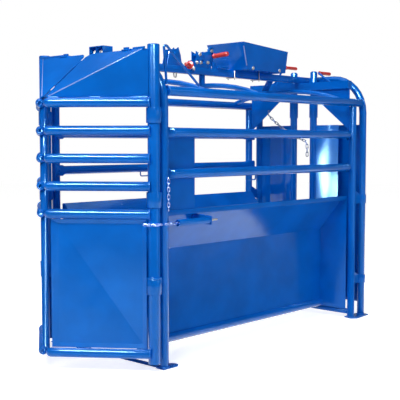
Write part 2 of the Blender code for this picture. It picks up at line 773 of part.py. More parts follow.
def build_side_sheets():
    y_start = FRONT_Y + POST_R + GAP
    y_end = REAR_Y - POST_R - GAP
    middle = (y_start + y_end) / 2
    length = y_end - y_start - SHEET
    profile = sheet_profile()
    edge = HALF - POST_R - GAP
    for name, side in SIDES:
        outline = strip_outline([(side * x, z) for x, z in profile], SHEET)
        sheet = solid_plate(outline, length, at(0, middle, 0), Vector((1, 0, 0)), Vector((0, 0, 1)))
        tube_x = side * (THROAT_HALF_WIDTH + 0.006)
        tube = solid_rod(at(tube_x, y_start + SHEET / 2, BOTTOM_TUBE_Z),
                         at(tube_x, y_end - SHEET / 2, BOTTOM_TUBE_Z), BOTTOM_TUBE_OD / 2, 16)
        wall = [(side * x, z) for x, z in
                ((THROAT_HALF_WIDTH, 0.068), (edge, 0.068), (edge, LEDGE_HEIGHT),
                 (LEDGE_HALF_WIDTH - LEDGE_FLAT, LEDGE_HEIGHT), (THROAT_HALF_WIDTH, CREASE_HEIGHT))]
        walls = [solid_plate(wall, SHEET, at(0, y, 0), Vector((1, 0, 0)), Vector((0, 0, 1)))
                 for y in (y_start + SHEET / 2, y_end - SHEET / 2)]
        node(f"{name}_side_wall", "blue_powder_coat", weld(sheet, tube, *walls))


def build_shield():
    x = RAIL_FLAT_X - RAIL_FLAT_THICKNESS / 2 - 0.003
    y_start = FRONT_Y + POST_R
    y_end = y_start + SHIELD_LENGTH - 0.05
    low = LEDGE_HEIGHT + SHEET / 2 + GAP
    high = RAIL_HEIGHTS[1] - 0.020
    inward = 0.022
    line = [(x, y_start), (x, y_end), (x - inward, y_end)]
    node("near_shield_panel", "blue_powder_coat",
         solid_plate(strip_outline(line, SHEET), high - low, at(0, 0, (low + high) / 2),
                     Vector((1, 0, 0)), Vector((0, 1, 0))))


# Spring tubes on the sides: each holds a tension spring that pulls its gate open by a chain
def spring_points():
    radius = SPRING_TUBE_BORE / 2 - SPRING_WIRE / 2 - 0.0015
    start = SPRING_FRONT + 0.030
    length = SPRING_TUBE_LENGTH - 0.075
    per_curl = 7
    points = []
    for i in range(SPRING_CURLS * per_curl + 1):
        angle = 2 * math.pi * i / per_curl
        y = start + length * i / (SPRING_CURLS * per_curl)
        points.append((radius * math.cos(angle), y, radius * math.sin(angle)))
    return points


def report_coil_gap():
    rise = (SPRING_TUBE_LENGTH - 0.075) / SPRING_CURLS
    print("least gap between spring curls, mm:", round((rise - SPRING_WIRE) * 1000, 2))


def build_springs():
    report_coil_gap()
    for name, side in SIDES:
        x = side * SPRING_X
        plate_y = SPRING_REAR + PLATE / 2
        tube = solid_ring(SPRING_TUBE_OD / 2, SPRING_TUBE_BORE / 2, at(x, SPRING_FRONT, SPRING_HEIGHT),
                          at(x, SPRING_REAR + WELD, SPRING_HEIGHT), 16)
        node(f"{name}_spring_tube", "blue_powder_coat", weld(tube, spring_bracket(side, plate_y)))
        coil = [at(x + px, py, SPRING_HEIGHT + pz) for px, py, pz in spring_points()]
        node(f"{name}_gate_spring", "spring_steel", solid_tube_path(coil, SPRING_WIRE / 2, 1))
        seat = SPRING_REAR - 0.040
        rod = [solid_rod(at(x, seat, SPRING_HEIGHT), at(x, plate_y + 0.075, SPRING_HEIGHT), 0.0055, 12),
               solid_rod(at(x, seat - 0.002, SPRING_HEIGHT), at(x, seat + 0.002, SPRING_HEIGHT), 0.0160, 12)]
        for y in (plate_y + PLATE / 2 + GAP, plate_y + PLATE / 2 + 0.014):
            rod.append(solid_rod(at(x, y, SPRING_HEIGHT), at(x, y + 0.010, SPRING_HEIGHT), 0.0105, 6))
        node(f"{name}_tension_rod", "zinc_plate", weld(*rod))
        build_spring_chain(name, side)


# Bracket plate from the slanted sheet out to the rear end of the spring tube
def spring_bracket(side, plate_y):
    slope = (LEDGE_HALF_WIDTH - LEDGE_FLAT - THROAT_HALF_WIDTH) / (LEDGE_HEIGHT - CREASE_HEIGHT)
    low = SPRING_HEIGHT - SPRING_TUBE_OD / 2 - 0.006
    high = LEDGE_HEIGHT - LEDGE_LIP - 0.001
    edges = [THROAT_HALF_WIDTH + (z - CREASE_HEIGHT) * slope + 0.0024 for z in (low, high)]
    outer = SPRING_X + SPRING_TUBE_OD / 2 + 0.003
    outline = [(edges[0], low), (outer, low), (outer, SPRING_HEIGHT + 0.026), (edges[1], high)]
    hole = circle(0.0060, SPRING_X, SPRING_HEIGHT, 12)
    return solid_plate([(side * a, b) for a, b in outline], PLATE, at(0, plate_y, 0), Vector((1, 0, 0)),
                       Vector((0, 0, 1)), [[(side * a, b) for a, b in hole]])


# The straight run belongs to the frame, the links round the hinge tube turn with the gate
def build_spring_chain(name, side):
    straight_end = at(side * (HALF + WRAP_R), WRAP_R + 0.001, SPRING_HEIGHT)
    straight_start = at(side * SPRING_X, SPRING_FRONT + 0.018, SPRING_HEIGHT)
    count = int((straight_end - straight_start).length / CHAIN_SPACING)
    toward = (straight_end - straight_start).normalized()
    start = straight_end - toward * (count * CHAIN_SPACING)
    up = Vector((0, 0, 1))
    straight = chain([start, straight_end], lambda p: up, count)
    node(f"{name}_spring_chain", "zinc_plate", weld(*straight))
    sweep = (WRAP_LINKS * CHAIN_SPACING - WRAP_TAIL) / WRAP_R
    square = math.atan2(LEAF_OUT.y, LEAF_OUT.x)
    route = []
    for i in range(25):
        angle = square + sweep * (1 - i / 24)
        route.append(at(side * (HALF + WRAP_R * math.cos(angle)), WRAP_R * math.sin(angle), SPRING_HEIGHT))
    route.append(on_leaf(side, WRAP_TAIL + CHAIN_SPACING, WRAP_R, SPRING_HEIGHT))
    centre = at(side * HALF, 0, SPRING_HEIGHT)
    along = on_leaf(side, 1, 0, SPRING_HEIGHT) - centre

    def outward(place):
        flat = place - centre
        return flat - along * max(flat.dot(along), 0)

    wrap = chain(route, outward, WRAP_LINKS)
    node(f"{name}_chain_wrap", "zinc_plate", weld(*wrap), at(side * HALF, 0, 0))


# Loose chains: a short one on the near front post and a slack one across the rear opening
def build_loose_chains():
    x = HALF + POST_R + 0.011
    low = SPRING_HEIGHT + 0.075
    top = low + HANGING_LINKS * CHAIN_SPACING + WELD
    links = chain([at(x, FRONT_Y, top), at(x, FRONT_Y, low)], lambda p: Vector((1, 0, 0)), HANGING_LINKS)
    eye = rounded_path([at(HALF + POST_R + GAP, FRONT_Y, top + 0.010), at(x, FRONT_Y, top + 0.010),
                        at(x, FRONT_Y, top - 0.006)], 0.006, 3)
    node("front_hanging_chain", "zinc_plate", weld(*links, solid_tube_path(eye, 0.0035, 1)))
    y = REAR_Y - 0.026
    hook_x = 0.286
    sag = [at(x, y, z) for x, z in
           ((-0.283, 1.584), (-0.235, 1.540), (-0.179, 1.500), (-0.110, 1.458), (-0.045, 1.421), (0.023, 1.393),
            (0.066, 1.378), (0.092, 1.366), (0.103, 1.350), (0.106, 1.330), (0.107, 1.240))]
    links = chain(sag, lambda p: Vector((0, 1, 0)))
    plate_y = REAR_Y - PLATE / 2 - GAP
    hook_top = gusset_edge(hook_x) + 0.010
    hook = rounded_path([at(-hook_x, plate_y, hook_top), at(-hook_x, y, hook_top),
                         at(0.002 - hook_x, y, 1.576)], 0.006, 3)
    node("rear_slack_chain", "zinc_plate", weld(*links, solid_tube_path(hook, 0.0035, 1)))


# Rear gate: two leaves slide outward, each moved by its own lever
def rear_leaf_sheet(side):
    inner = REAR_TUBE_X + REAR_TUBE_OD / 2 - 2 * WELD
    low = REAR_TUBE_FOOT + 0.02
    outline = [(inner, low), (REAR_SHEET_OUTER, low), (REAR_SHEET_OUTER, REAR_SHEET_TOP),
               (inner, REAR_SHEET_TOP)]
    return solid_plate([(side * x, z) for x, z in outline], SHEET, at(0, REAR_LEAF_Y, 0),
                       Vector((1, 0, 0)), Vector((0, 0, 1)))


def build_rear_gate():
    for name, side in SIDES:
        foot = at(side * REAR_TUBE_X, REAR_LEAF_Y, 0)
        up = Vector((0, 0, 1))
        radius = REAR_TUBE_OD / 2
        tube = solid_rod(foot + up * REAR_TUBE_FOOT, foot + up * REAR_TUBE_TOP, radius, 16)
        cap = solid_rod(foot + up * (REAR_TUBE_TOP - WELD), foot + up * (REAR_TUBE_TOP + 0.007),
                        radius - 0.001, 16, radius - 0.009)
        collar = solid_rod(foot + up * REAR_COLLAR_LOW, foot + up * REAR_COLLAR_HIGH, REAR_COLLAR_OD / 2, 16)
        node(f"{name}_rear_leaf", "blue_powder_coat", weld(tube, cap, collar, rear_leaf_sheet(side)))
        build_rear_lever(name, side)


def lever_pin(side):
    start = at(side * LEVER_PIVOT_X, REAR_Y + CROSSBAR / 2 - WELD, LEVER_PIVOT_Z)
    return solid_rod(start, at(side * LEVER_PIVOT_X, LEVER_Y + 0.030, LEVER_PIVOT_Z), LEVER_PIN / 2, 12)


def build_rear_lever(name, side):
    pivot = at(side * LEVER_PIVOT_X, LEVER_Y, LEVER_PIVOT_Z)
    hub_r = 0.017
    hub = solid_ring(hub_r, LEVER_PIN / 2 + PIN_CLEARANCE, pivot - Vector((0, 0.012, 0)),
                     pivot + Vector((0, 0.012, 0)), 16)
    tip_x = REAR_TUBE_X + REAR_TUBE_OD / 2 + REAR_GRIP_OD * 0.57 + 0.003
    bend_x = LEVER_PIVOT_X - 0.055
    corners = [at(side * (LEVER_PIVOT_X - hub_r + 2 * WELD), LEVER_Y, LEVER_PIVOT_Z),
               at(side * bend_x, LEVER_Y, LEVER_PIVOT_Z + 0.003), at(side * tip_x, LEVER_Y, LEVER_TIP_Z),
               at(side * tip_x, LEVER_Y + LEVER_ROD + REAR_GRIP_LENGTH - 0.008, LEVER_TIP_Z)]
    rod = solid_tube_path(rounded_path(corners, 0.012, 4), LEVER_ROD / 2, 2)
    grip = turned_solid(grip_profile(REAR_GRIP_LENGTH, REAR_GRIP_OD / 2, LEVER_ROD / 2),
                        at(side * tip_x, LEVER_Y + LEVER_ROD, LEVER_TIP_Z), Vector((0, 1, 0)))
    lever = weld(hub, rod)
    if side < 0:
        lift = (Matrix.Translation(pivot) @ Matrix.Rotation(-FAR_LEVER_LIFT, 4, "Y")
                @ Matrix.Translation(-pivot))
        for solid in (lever, grip):
            bmesh.ops.transform(solid, matrix=lift, verts=solid.verts)
    node(f"{name}_rear_lever", "blue_powder_coat", lever, pivot)
    node(f"{name}_rear_grip", "red_grip", grip, pivot)


# A rubber grip: a sleeve with a flange at its mouth and a rounded closed end
def grip_profile(length, radius, bore):
    inner = bore + GAP
    wall_end = length - 0.006
    flange = radius * 1.14
    outside = [(0, length), (radius * 0.55, length), (radius * 0.92, length - 0.004),
               (radius, length - 0.012), (radius * 0.94, 0.012), (flange, 0.009), (flange, 0)]
    return outside + [(inner, 0), (inner, wall_end), (0, wall_end)]


# Brackets between a rear post and the arch leg: a collar round the leg and a gusset
def arch_braces(side):
    pieces = []
    for low, high in BRACE_HEIGHTS:
        pieces.append(solid_ring(POST_R + BRACE_COLLAR_WALL, POST_R + GAP, at(side * HALF, ARCH_Y, low),
                                 at(side * HALF, ARCH_Y, high), 16))
        arch_side = ARCH_Y - POST_R - 0.001
        post_side = REAR_Y + POST_R - WELD
        outline = [(post_side, low), (arch_side, low), (arch_side, high), (post_side, high + 0.041)]
        plane = at(side * HALF, 0, 0)
        pieces.append(solid_plate(outline, PLATE, plane, Vector((0, 1, 0)), Vector((0, 0, 1))))
    return pieces


# Tool tray, open at the top, on two clamps round the beam
def build_tray():
    base = BEAM_TOP + GAP + SHEET / 2
    top_front = base + TRAY_FRONT_HEIGHT
    top_rear = base + TRAY_REAR_HEIGHT
    wide = TRAY_TOP_HALF_WIDTH
    narrow = TRAY_BASE_HALF_WIDTH
    points = [at(-narrow, TRAY_BASE_FRONT, base), at(narrow, TRAY_BASE_FRONT, base),
              at(narrow, TRAY_BASE_REAR, base), at(-narrow, TRAY_BASE_REAR, base),
              at(-wide, TRAY_TOP_FRONT, top_front), at(wide, TRAY_TOP_FRONT, top_front),
              at(wide, TRAY_TOP_REAR, top_rear), at(-wide, TRAY_TOP_REAR, top_rear)]
    faces = [(0, 3, 2, 1), (0, 1, 5, 4), (1, 2, 6, 5), (2, 3, 7, 6), (3, 0, 4, 7)]
    node("tool_tray", "blue_powder_coat", solid_sheet(points, faces, SHEET))
    leg_x = BEAM / 2 + 0.006
    leg_top = BEAM_TOP - 0.001
    bar_top = BEAM_BOTTOM - GAP
    for name, y in (("front", TRAY_BASE_FRONT), ("rear", TRAY_BASE_FRONT + 0.285)):
        legs = [solid_rod(at(s * leg_x, y, bar_top - 0.016), at(s * leg_x, y, leg_top), 0.004, 8)
                for s in (1, -1)]
        half = 0.012
        bar_x = leg_x + half
        bar = solid_box(at(-bar_x, y - half, bar_top - 0.006), at(bar_x, y + half, bar_top))
        node(f"{name}_tray_clamp", "zinc_plate", weld(bar, *legs))


# Side plates on the beam that carry the release gear
def side_plate_pair(outline, offset, holes=()):
    return [solid_plate(outline, 0.005, at(s * offset, 0, 0), Vector((0, 1, 0)), Vector((0, 0, 1)), holes)
            for s in (1, -1)]


def build_release_gear():
    foot = BEAM_TOP + GAP
    offset = BEAM / 2 - 0.004
    ear = EAR_STATION
    ears = [(ear - 0.075, foot), (ear - 0.045, 1.982), (ear + 0.020, 1.990), (ear + 0.038, 2.003),
            (ear + 0.060, 1.950), (ear + 0.074, foot)]
    pin_z = 1.955
    pin = solid_rod(at(-offset - 0.008, ear, pin_z), at(offset + 0.008, ear, pin_z), 0.0058, 12)
    heads = [hex_head(at(s * (offset + 0.0025), ear, pin_z), Vector((s, 0, 0))) for s in (1, -1)]
    node("rope_ears", "blue_powder_coat", weld(*side_plate_pair(ears, offset), pin, *heads))
    groove = [(0.0068, -0.012), (0.027, -0.012), (0.027, -0.009), (0.020, -0.004), (0.020, 0.004),
              (0.027, 0.009), (0.027, 0.012), (0.0068, 0.012)]
    centre = at(0, ear, pin_z)
    node("rope_pulley", "zinc_plate", turned_solid(groove, centre, Vector((1, 0, 0)), True), centre)
    cheek = CHEEK_STATION
    cheeks = [(cheek - 0.110, foot), (cheek - 0.110, 1.922), (cheek - 0.074, 1.930), (cheek - 0.076, 1.990),
              (cheek - 0.040, 1.978), (cheek - 0.005, 1.982), (cheek + 0.040, 1.996), (cheek + 0.075, 1.996),
              (cheek + 0.080, foot)]
    window = circle(0.010, cheek - 0.005, 1.924, 12)
    tie = solid_rod(at(-offset, cheek - 0.050, 1.965), at(offset, cheek - 0.050, 1.965), 0.006, 8)
    bolts = [hex_head(at(s * (offset + 0.0025), cheek + dy, z), Vector((s, 0, 0)), 0.017, 0.007)
             for s in (1, -1) for dy, z in ((-0.004, 1.966), (-0.036, 1.915), (0.050, 1.915))]
    node("latch_cheeks", "blue_powder_coat", weld(*side_plate_pair(cheeks, offset, [window]), tie, *bolts))
    build_trip_lever(foot)
    build_knob_lever()


# The trip lever stands between two posts on the beam; its cross handle points to the near side
def build_trip_lever(foot):
    y = TRIP_STATION
    pivot_z = foot + 0.030
    pin_r = 0.006
    outline = [(y - 0.018, foot), (y + 0.018, foot), (y + 0.018, pivot_z + 0.008),
               (y + 0.008, pivot_z + 0.018), (y - 0.008, pivot_z + 0.018), (y - 0.018, pivot_z + 0.008)]
    posts = side_plate_pair(outline, 0.020)
    pin = solid_rod(at(-0.028, y, pivot_z), at(0.028, y, pivot_z), pin_r, 12)
    node("trip_lever_bracket", "blue_powder_coat", weld(*posts, pin))
    pivot = at(0, y, pivot_z)
    arm_top = 2.000
    arm = [(y - 0.012, pivot_z - 0.012), (y + 0.012, pivot_z - 0.012), (y + 0.014, arm_top),
           (y + 0.004, arm_top + 0.030), (y - 0.010, arm_top + 0.032), (y - 0.018, arm_top + 0.012),
           (y - 0.014, arm_top - 0.020)]
    eye = circle(0.0065, y - 0.003, arm_top + 0.014, 10)
    handle_z = 1.966
    arm_plate = solid_plate(arm, 0.008, at(0, 0, 0), Vector((0, 1, 0)), Vector((0, 0, 1)),
                            [circle(pin_r + PIN_CLEARANCE, y, pivot_z, 12), eye])
    tilt = Vector((1, 0, 0.06)).normalized()
    start = at(0, y, handle_z)
    rod = solid_rod(start, start + tilt * (TRIP_GRIP_LENGTH + 0.018), 0.007, 12)
    node("trip_lever", "blue_powder_coat", weld(arm_plate, rod), pivot)
    grip = grip_profile(TRIP_GRIP_LENGTH, TRIP_GRIP_OD / 2, 0.007)
    node("trip_grip", "red_grip", turned_solid(grip, start + tilt * 0.024, tilt), pivot)


# A second lever on the near side of the beam, its red knob out over the rail
def build_knob_lever():
    side_x = BEAM / 2
    y = KNOB_STATION
    z = BEAM_Z + 0.010
    pivot = at(side_x + 0.020, y, z)
    block = solid_box(at(side_x + GAP, y - 0.012, z - 0.026), at(side_x + 0.006, y + 0.012, z + 0.010))
    shelf = solid_box(at(side_x + 0.004, y - 0.012, z - 0.020), at(side_x + 0.034, y + 0.012, z - 0.015))
    pin = solid_rod(pivot + Vector((0, 0, -0.017)), pivot + Vector((0, 0, 0.018)), 0.005, 10)
    node("knob_lever_bracket", "blue_powder_coat", weld(block, shelf, pin))
    hub = solid_ring(0.011, 0.006, pivot + Vector((0, 0, -0.012)), pivot + Vector((0, 0, 0.012)), 12)
    reach = Vector((0.35, -0.94, 0.0)).normalized()
    rise = Vector((0, 0, 0.018))
    knob_start = pivot + reach * 0.062 + rise
    corners = [pivot + reach * 0.009, pivot + reach * 0.034, knob_start - reach * 0.004,
               knob_start + reach * 0.066]
    rod = solid_tube_path(rounded_path(corners, 0.010, 2), 0.006, 1)
    node("knob_lever", "zinc_plate", weld(hub, rod), pivot)
    knob = knob_profile(0.075, KNOB_OD / 2, 0.006)
    node("lever_knob", "red_grip", turned_solid(knob, knob_start, reach), pivot)


# The knob: a wide collar on a waisted handle with a closed end
def knob_profile(length, radius, bore):
    inner = bore + GAP
    neck = radius * 0.52
    return [(0, length), (neck * 0.7, length), (neck, length - 0.005), (neck * 0.92, 0.012), (radius, 0.008),
            (radius, 0.001), (radius * 0.92, 0), (inner, 0), (inner, length - 0.006), (0, length - 0.006)]


# Latch on top of the front arch: a bridge with two bays, a roller and the jaw that holds the gates
def build_latch():
    low = ARCH_TOP + POST_R + GAP
    high = low + LATCH_HEIGHT
    y_back = FRONT_Y + POST_R * 0.4
    y_front = y_back - LATCH_DEPTH
    wall = PLATE
    half = LATCH_HALF_WIDTH
    y_pin = (y_front + y_back) / 2 - 0.010
    z_pin = (low + high) / 2 - 0.004
    left = LATCH_X - half
    right = LATCH_X + half
    pin_r = 0.0055
    top = solid_box(at(left, y_front, high - wall), at(right, y_back, high))
    legs = [solid_box(at(x, y_front, low), at(x + wall, y_back, high - wall + WELD))
            for x in (left, LATCH_X - wall / 2, right - wall)]
    pin = solid_rod(at(left + WELD, y_pin, z_pin), at(right - WELD, y_pin, z_pin), pin_r, 10)
    node("latch_housing", "blue_powder_coat", weld(top, *legs, pin))
    bay = half / 2
    centre = at(LATCH_X + bay, y_pin, z_pin)
    side = Vector((0.017, 0, 0))
    bore = pin_r + PIN_CLEARANCE
    node("latch_roller", "zinc_plate", solid_ring(0.016, bore, centre - side, centre + side, 14), centre)
    y = y_pin
    z = z_pin
    outline = [(y + 0.012, z + 0.016), (y - 0.012, z + 0.016), (y - 0.020, z - 0.002), (y - 0.014, z - 0.026),
               (y - 0.002, z - 0.026), (y - 0.008, z - 0.010), (y + 0.014, z - 0.004)]
    jaw_x = LATCH_X - bay
    jaw = solid_plate(outline, 0.014, at(jaw_x, 0, 0), Vector((0, 1, 0)), Vector((0, 0, 1)),
                      [circle(bore, y, z, 12)])
    node("latch_jaw", "zinc_plate", jaw, at(jaw_x, y, z))


# Rope guards: a bent rod from each front corner over to the top rail
def build_guards():
    for name, side in SIDES:
        x = side * (HALF - 0.012)
        rod_r = 0.008
        front = FRONT_Y + POST_R + rod_r + GAP
        rail_top = RAIL_HEIGHTS[0] + SIDE_RAIL_OD / 2
        corners = [at(x, front, 1.700), at(x, front - 0.022, GUARD_TOP), at(x, front + 0.002, GUARD_TOP),
                   at(x, GUARD_REAR, rail_top + 0.010)]
        guard = solid_tube_path(rounded_path(corners, 0.010, 3), rod_r, 2)
        node(f"{name}_rope_guard", "blue_powder_coat", guard)


build_frame()
build_side_rails()
build_bows()
build_beam()
build_nose_gates()
build_side_sheets()
build_shield()
build_springs()
build_loose_chains()
build_rear_gate()
build_tray()
build_release_gear()
build_latch()
build_guards()
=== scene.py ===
# Roping chute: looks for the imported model. Metres, +Z up, the nose gates point to -Y.
import json
import math

import bmesh
import bpy
from mathutils import Matrix, Vector


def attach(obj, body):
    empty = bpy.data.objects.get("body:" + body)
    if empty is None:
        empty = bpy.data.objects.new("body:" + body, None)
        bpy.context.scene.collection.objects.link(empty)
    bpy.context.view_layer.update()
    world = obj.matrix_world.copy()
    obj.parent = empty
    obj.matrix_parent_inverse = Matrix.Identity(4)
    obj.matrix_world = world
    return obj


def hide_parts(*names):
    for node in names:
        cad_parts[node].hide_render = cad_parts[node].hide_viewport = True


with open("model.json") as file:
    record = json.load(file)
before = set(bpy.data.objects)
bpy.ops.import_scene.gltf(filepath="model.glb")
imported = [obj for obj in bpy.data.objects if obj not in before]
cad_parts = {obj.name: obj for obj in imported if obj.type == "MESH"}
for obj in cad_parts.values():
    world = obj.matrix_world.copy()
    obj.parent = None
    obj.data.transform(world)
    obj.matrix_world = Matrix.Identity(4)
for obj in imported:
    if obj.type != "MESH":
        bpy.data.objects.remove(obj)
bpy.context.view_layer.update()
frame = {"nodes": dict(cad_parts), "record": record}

# Places that the pieces below share; y is from the hinge line of the nose gates
places = {
    "hingeY": -0.96839,
    "halfWidth": 0.5115,
    "frontPostY": 0.0835,
    "rearPostY": 2.1335,
    "rearArchY": 2.2765,
    "postRadius": 0.028,
    "hingeRadius": 0.0365,
    "leafAlong": (-0.79447, -0.60731),  # from the near hinge tube towards the nose
    "leafOut": 0.0287,  # from a hinge tube's axis to its gate rails
    "gateRailTop": 1.588,
    "gateRailPitch": 0.163,
    "gateFootRail": 0.108,
    "sideRailTop": 1.661,
}

sides = (("near", 1), ("far", -1))


def at(x, y, z):
    return Vector((x, y + places["hingeY"], z))


def gateAxes(side):
    x, y = places["leafAlong"]
    return Vector((side * x, y, 0)), Vector((side * -y, x, 0))


# Colour and node helpers
def hexColour(code):
    channels = [int(code[i : i + 2], 16) / 255 for i in (1, 3, 5)]
    linear = [c / 12.92 if c <= 0.04045 else ((c + 0.055) / 1.055) ** 2.4 for c in channels]
    return (*linear, 1)


def addNode(tree, kind, settings=None, links=None):
    node = tree.nodes.new(kind)
    for key, value in (settings or {}).items():
        if isinstance(key, int) or key in node.inputs:
            node.inputs[key].default_value = value
        else:
            setattr(node, key, value)
    for key, source in (links or {}).items():
        tree.links.new(source, node.inputs[key])
    return node


def startMaterial(name):
    material = bpy.data.materials.new(name)
    material.use_nodes = True
    tree = material.node_tree
    tree.nodes.clear()
    place = addNode(tree, "ShaderNodeTexCoord").outputs["Object"]
    return material, tree, place


def endMaterial(tree, shader):
    addNode(tree, "ShaderNodeOutputMaterial", links={"Surface": shader.outputs[0]})


def colourRamp(tree, factor, stops):
    ramp = addNode(tree, "ShaderNodeValToRGB", links={"Fac": factor})
    for i, (position, colour) in enumerate(stops):
        stop = ramp.color_ramp.elements[i] if i < 2 else ramp.color_ramp.elements.new(position)
        stop.position = position
        stop.color = colour
    return ramp.outputs["Color"]


# Powder coat: a thick gloss polyester, sprayed as powder and baked, with a faint orange peel
powderCoat = {
    "blue": "#0069CF",
    "blueDeep": "#005FBE",
    "dust": "#3E6FB0",
    "sheen": "#9CDAFF",  # the blue that the coat's own reflections take
    "shine": 0.4,
    "roughness": 0.15,
    "peelMillimetres": 2.5,  # one bump of orange peel
    "cloudMillimetres": 240,  # slow shade change over a panel
    "dustHeight": 0.16,  # yard dust on what stands near the ground
    "dustShare": 0.30,
    "speckScale": 60.0,
    "peelHeight": 0.0004,
    "peelStrength": 0.05,
    "waveScale": 5.0,
    "waveHeight": 0.010,
}


def makePowderCoat(name, settings, waviness=0.0):
    material, tree, place = startMaterial(name)
    cloudScale = 1000 / settings["cloudMillimetres"]
    cloud = addNode(tree, "ShaderNodeTexNoise", {"Scale": cloudScale, "Detail": 3.0, "Roughness": 0.5},
                    {"Vector": place})
    shades = ((0.35, hexColour(settings["blueDeep"])), (0.65, hexColour(settings["blue"])))
    blue = colourRamp(tree, cloud.outputs["Fac"], shades)
    height = addNode(tree, "ShaderNodeSeparateXYZ", links={"Vector": place}).outputs["Z"]
    near = addNode(tree, "ShaderNodeMapRange", {"From Min": settings["dustHeight"], "From Max": 0.0,
                                                "To Min": 0.0, "To Max": settings["dustShare"]},
                   {"Value": height})
    speck = addNode(tree, "ShaderNodeTexNoise", {"Scale": settings["speckScale"], "Detail": 5.0},
                    {"Vector": place})
    dusty = addNode(tree, "ShaderNodeMath", {"operation": "MULTIPLY", "use_clamp": True},
                    {0: near.outputs["Result"], 1: speck.outputs["Fac"]})
    colour = addNode(tree, "ShaderNodeMix", {"data_type": "RGBA"})
    tree.links.new(dusty.outputs[0], colour.inputs[0])
    tree.links.new(blue, colour.inputs[6])
    colour.inputs[7].default_value = hexColour(settings["dust"])
    gloss = addNode(tree, "ShaderNodeMapRange", {"To Min": settings["roughness"] - 0.04,
                                                 "To Max": settings["roughness"] + 0.06},
                    {"Value": speck.outputs["Fac"]})
    peel = addNode(tree, "ShaderNodeTexNoise",
                   {"Scale": 1000 / settings["peelMillimetres"], "Detail": 1.0}, {"Vector": place})
    bump = addNode(tree, "ShaderNodeBump",
                   {"Strength": settings["peelStrength"], "Distance": settings["peelHeight"]},
                   {"Height": peel.outputs["Fac"]})
    normal = bump.outputs["Normal"]
    if waviness:
        # Sheet steel is never quite flat: long shallow waves bend the reflections
        wave = addNode(tree, "ShaderNodeTexNoise", {"Scale": settings["waveScale"], "Detail": 1.0},
                       {"Vector": place})
        soft = addNode(tree, "ShaderNodeBump",
                       {"Strength": waviness, "Distance": settings["waveHeight"]},
                       {"Height": wave.outputs["Fac"], "Normal": normal})
        normal = soft.outputs["Normal"]
    shader = addNode(tree, "ShaderNodeBsdfPrincipled",
                     {"Specular IOR Level": settings["shine"],
                      "Specular Tint": hexColour(settings["sheen"])},
                     {"Base Color": colour.outputs[2], "Roughness": gloss.outputs["Result"],
                      "Normal": normal})
    endMaterial(tree, shader)
    return material


# Weld bead under the powder coat: rounded ripples a few millimetres apart
weldBead = {"rippleMillimetres": 4.5, "rippleHeight": 0.0012, "roughness": 0.30}


def makeWeldBead(settings, bead):
    material, tree, place = startMaterial("coatedWeldBead")
    ripple = addNode(tree, "ShaderNodeTexVoronoi", {"Scale": 1000 / bead["rippleMillimetres"]},
                     {"Vector": place})
    bump = addNode(tree, "ShaderNodeBump",
                   {"Strength": 0.8, "Distance": bead["rippleHeight"], "invert": True},
                   {"Height": ripple.outputs["Distance"]})
    shader = addNode(tree, "ShaderNodeBsdfPrincipled",
                     {"Base Color": hexColour(settings["blue"]), "Roughness": bead["roughness"],
                      "Specular Tint": hexColour(settings["sheen"])},
                     {"Normal": bump.outputs["Normal"]})
    endMaterial(tree, shader)
    return material


# Red grip: dipped vinyl, satin, a little darker where hands have rubbed it
dippedVinyl = {"red": "#E23128", "redWorn": "#C8231E", "roughness": 0.38, "poreMillimetres": 1.2}


def makeDippedVinyl(settings):
    material, tree, place = startMaterial("dippedVinyl")
    wear = addNode(tree, "ShaderNodeTexNoise", {"Scale": 24.0, "Detail": 4.0}, {"Vector": place})
    red = colourRamp(tree, wear.outputs["Fac"],
                     ((0.35, hexColour(settings["redWorn"])), (0.60, hexColour(settings["red"]))))
    pores = addNode(tree, "ShaderNodeTexNoise", {"Scale": 1000 / settings["poreMillimetres"]},
                    {"Vector": place})
    bump = addNode(tree, "ShaderNodeBump", {"Strength": 0.15, "Distance": 0.0003},
                   {"Height": pores.outputs["Fac"]})
    shader = addNode(tree, "ShaderNodeBsdfPrincipled", {"Roughness": settings["roughness"]},
                     {"Base Color": red, "Normal": bump.outputs["Normal"]})
    endMaterial(tree, shader)
    return material


# Zinc plate on steel: bright grey metal with faint cloudy spangle and duller scuffs
zincPlate = {"bright": "#D9D6CE", "dull": "#A9A59B", "spangleMillimetres": 6}


def makeZincPlate(name, settings):
    material, tree, place = startMaterial(name)
    spangle = addNode(tree, "ShaderNodeTexVoronoi", {"Scale": 1000 / settings["spangleMillimetres"]},
                      {"Vector": place})
    parts = addNode(tree, "ShaderNodeSeparateXYZ", links={"Vector": spangle.outputs["Color"]})
    tone = parts.outputs["X"]
    grey = colourRamp(tree, tone,
                      ((0.0, hexColour(settings["dull"])), (1.0, hexColour(settings["bright"]))))
    rough = addNode(tree, "ShaderNodeMapRange", {"To Min": 0.26, "To Max": 0.48}, {"Value": tone})
    shader = addNode(tree, "ShaderNodeBsdfPrincipled", {"Metallic": 1.0},
                     {"Base Color": grey, "Roughness": rough.outputs["Result"]})
    endMaterial(tree, shader)
    return material


# Spring wire: oil-tempered steel, dark and slightly blued, with fine drawing marks
temperedWire = {"dark": "#3E4045", "light": "#62656B", "roughness": 0.36, "markScale": 300.0}


def makeSpringWire(settings):
    material, tree, place = startMaterial("oilTemperedSpringWire")
    drawn = addNode(tree, "ShaderNodeTexNoise", {"Scale": settings["markScale"], "Detail": 3.0},
                    {"Vector": place})
    steel = colourRamp(tree, drawn.outputs["Fac"],
                       ((0.3, hexColour(settings["dark"])), (0.7, hexColour(settings["light"]))))
    shader = addNode(tree, "ShaderNodeBsdfPrincipled",
                     {"Metallic": 1.0, "Roughness": settings["roughness"]}, {"Base Color": steel})
    endMaterial(tree, shader)
    return material


tubeBlue = makePowderCoat("powderCoatOnTube", powderCoat)
sheetBlue = makePowderCoat("powderCoatOnSheet", powderCoat, 0.25)
weldBlue = makeWeldBead(powderCoat, weldBead)
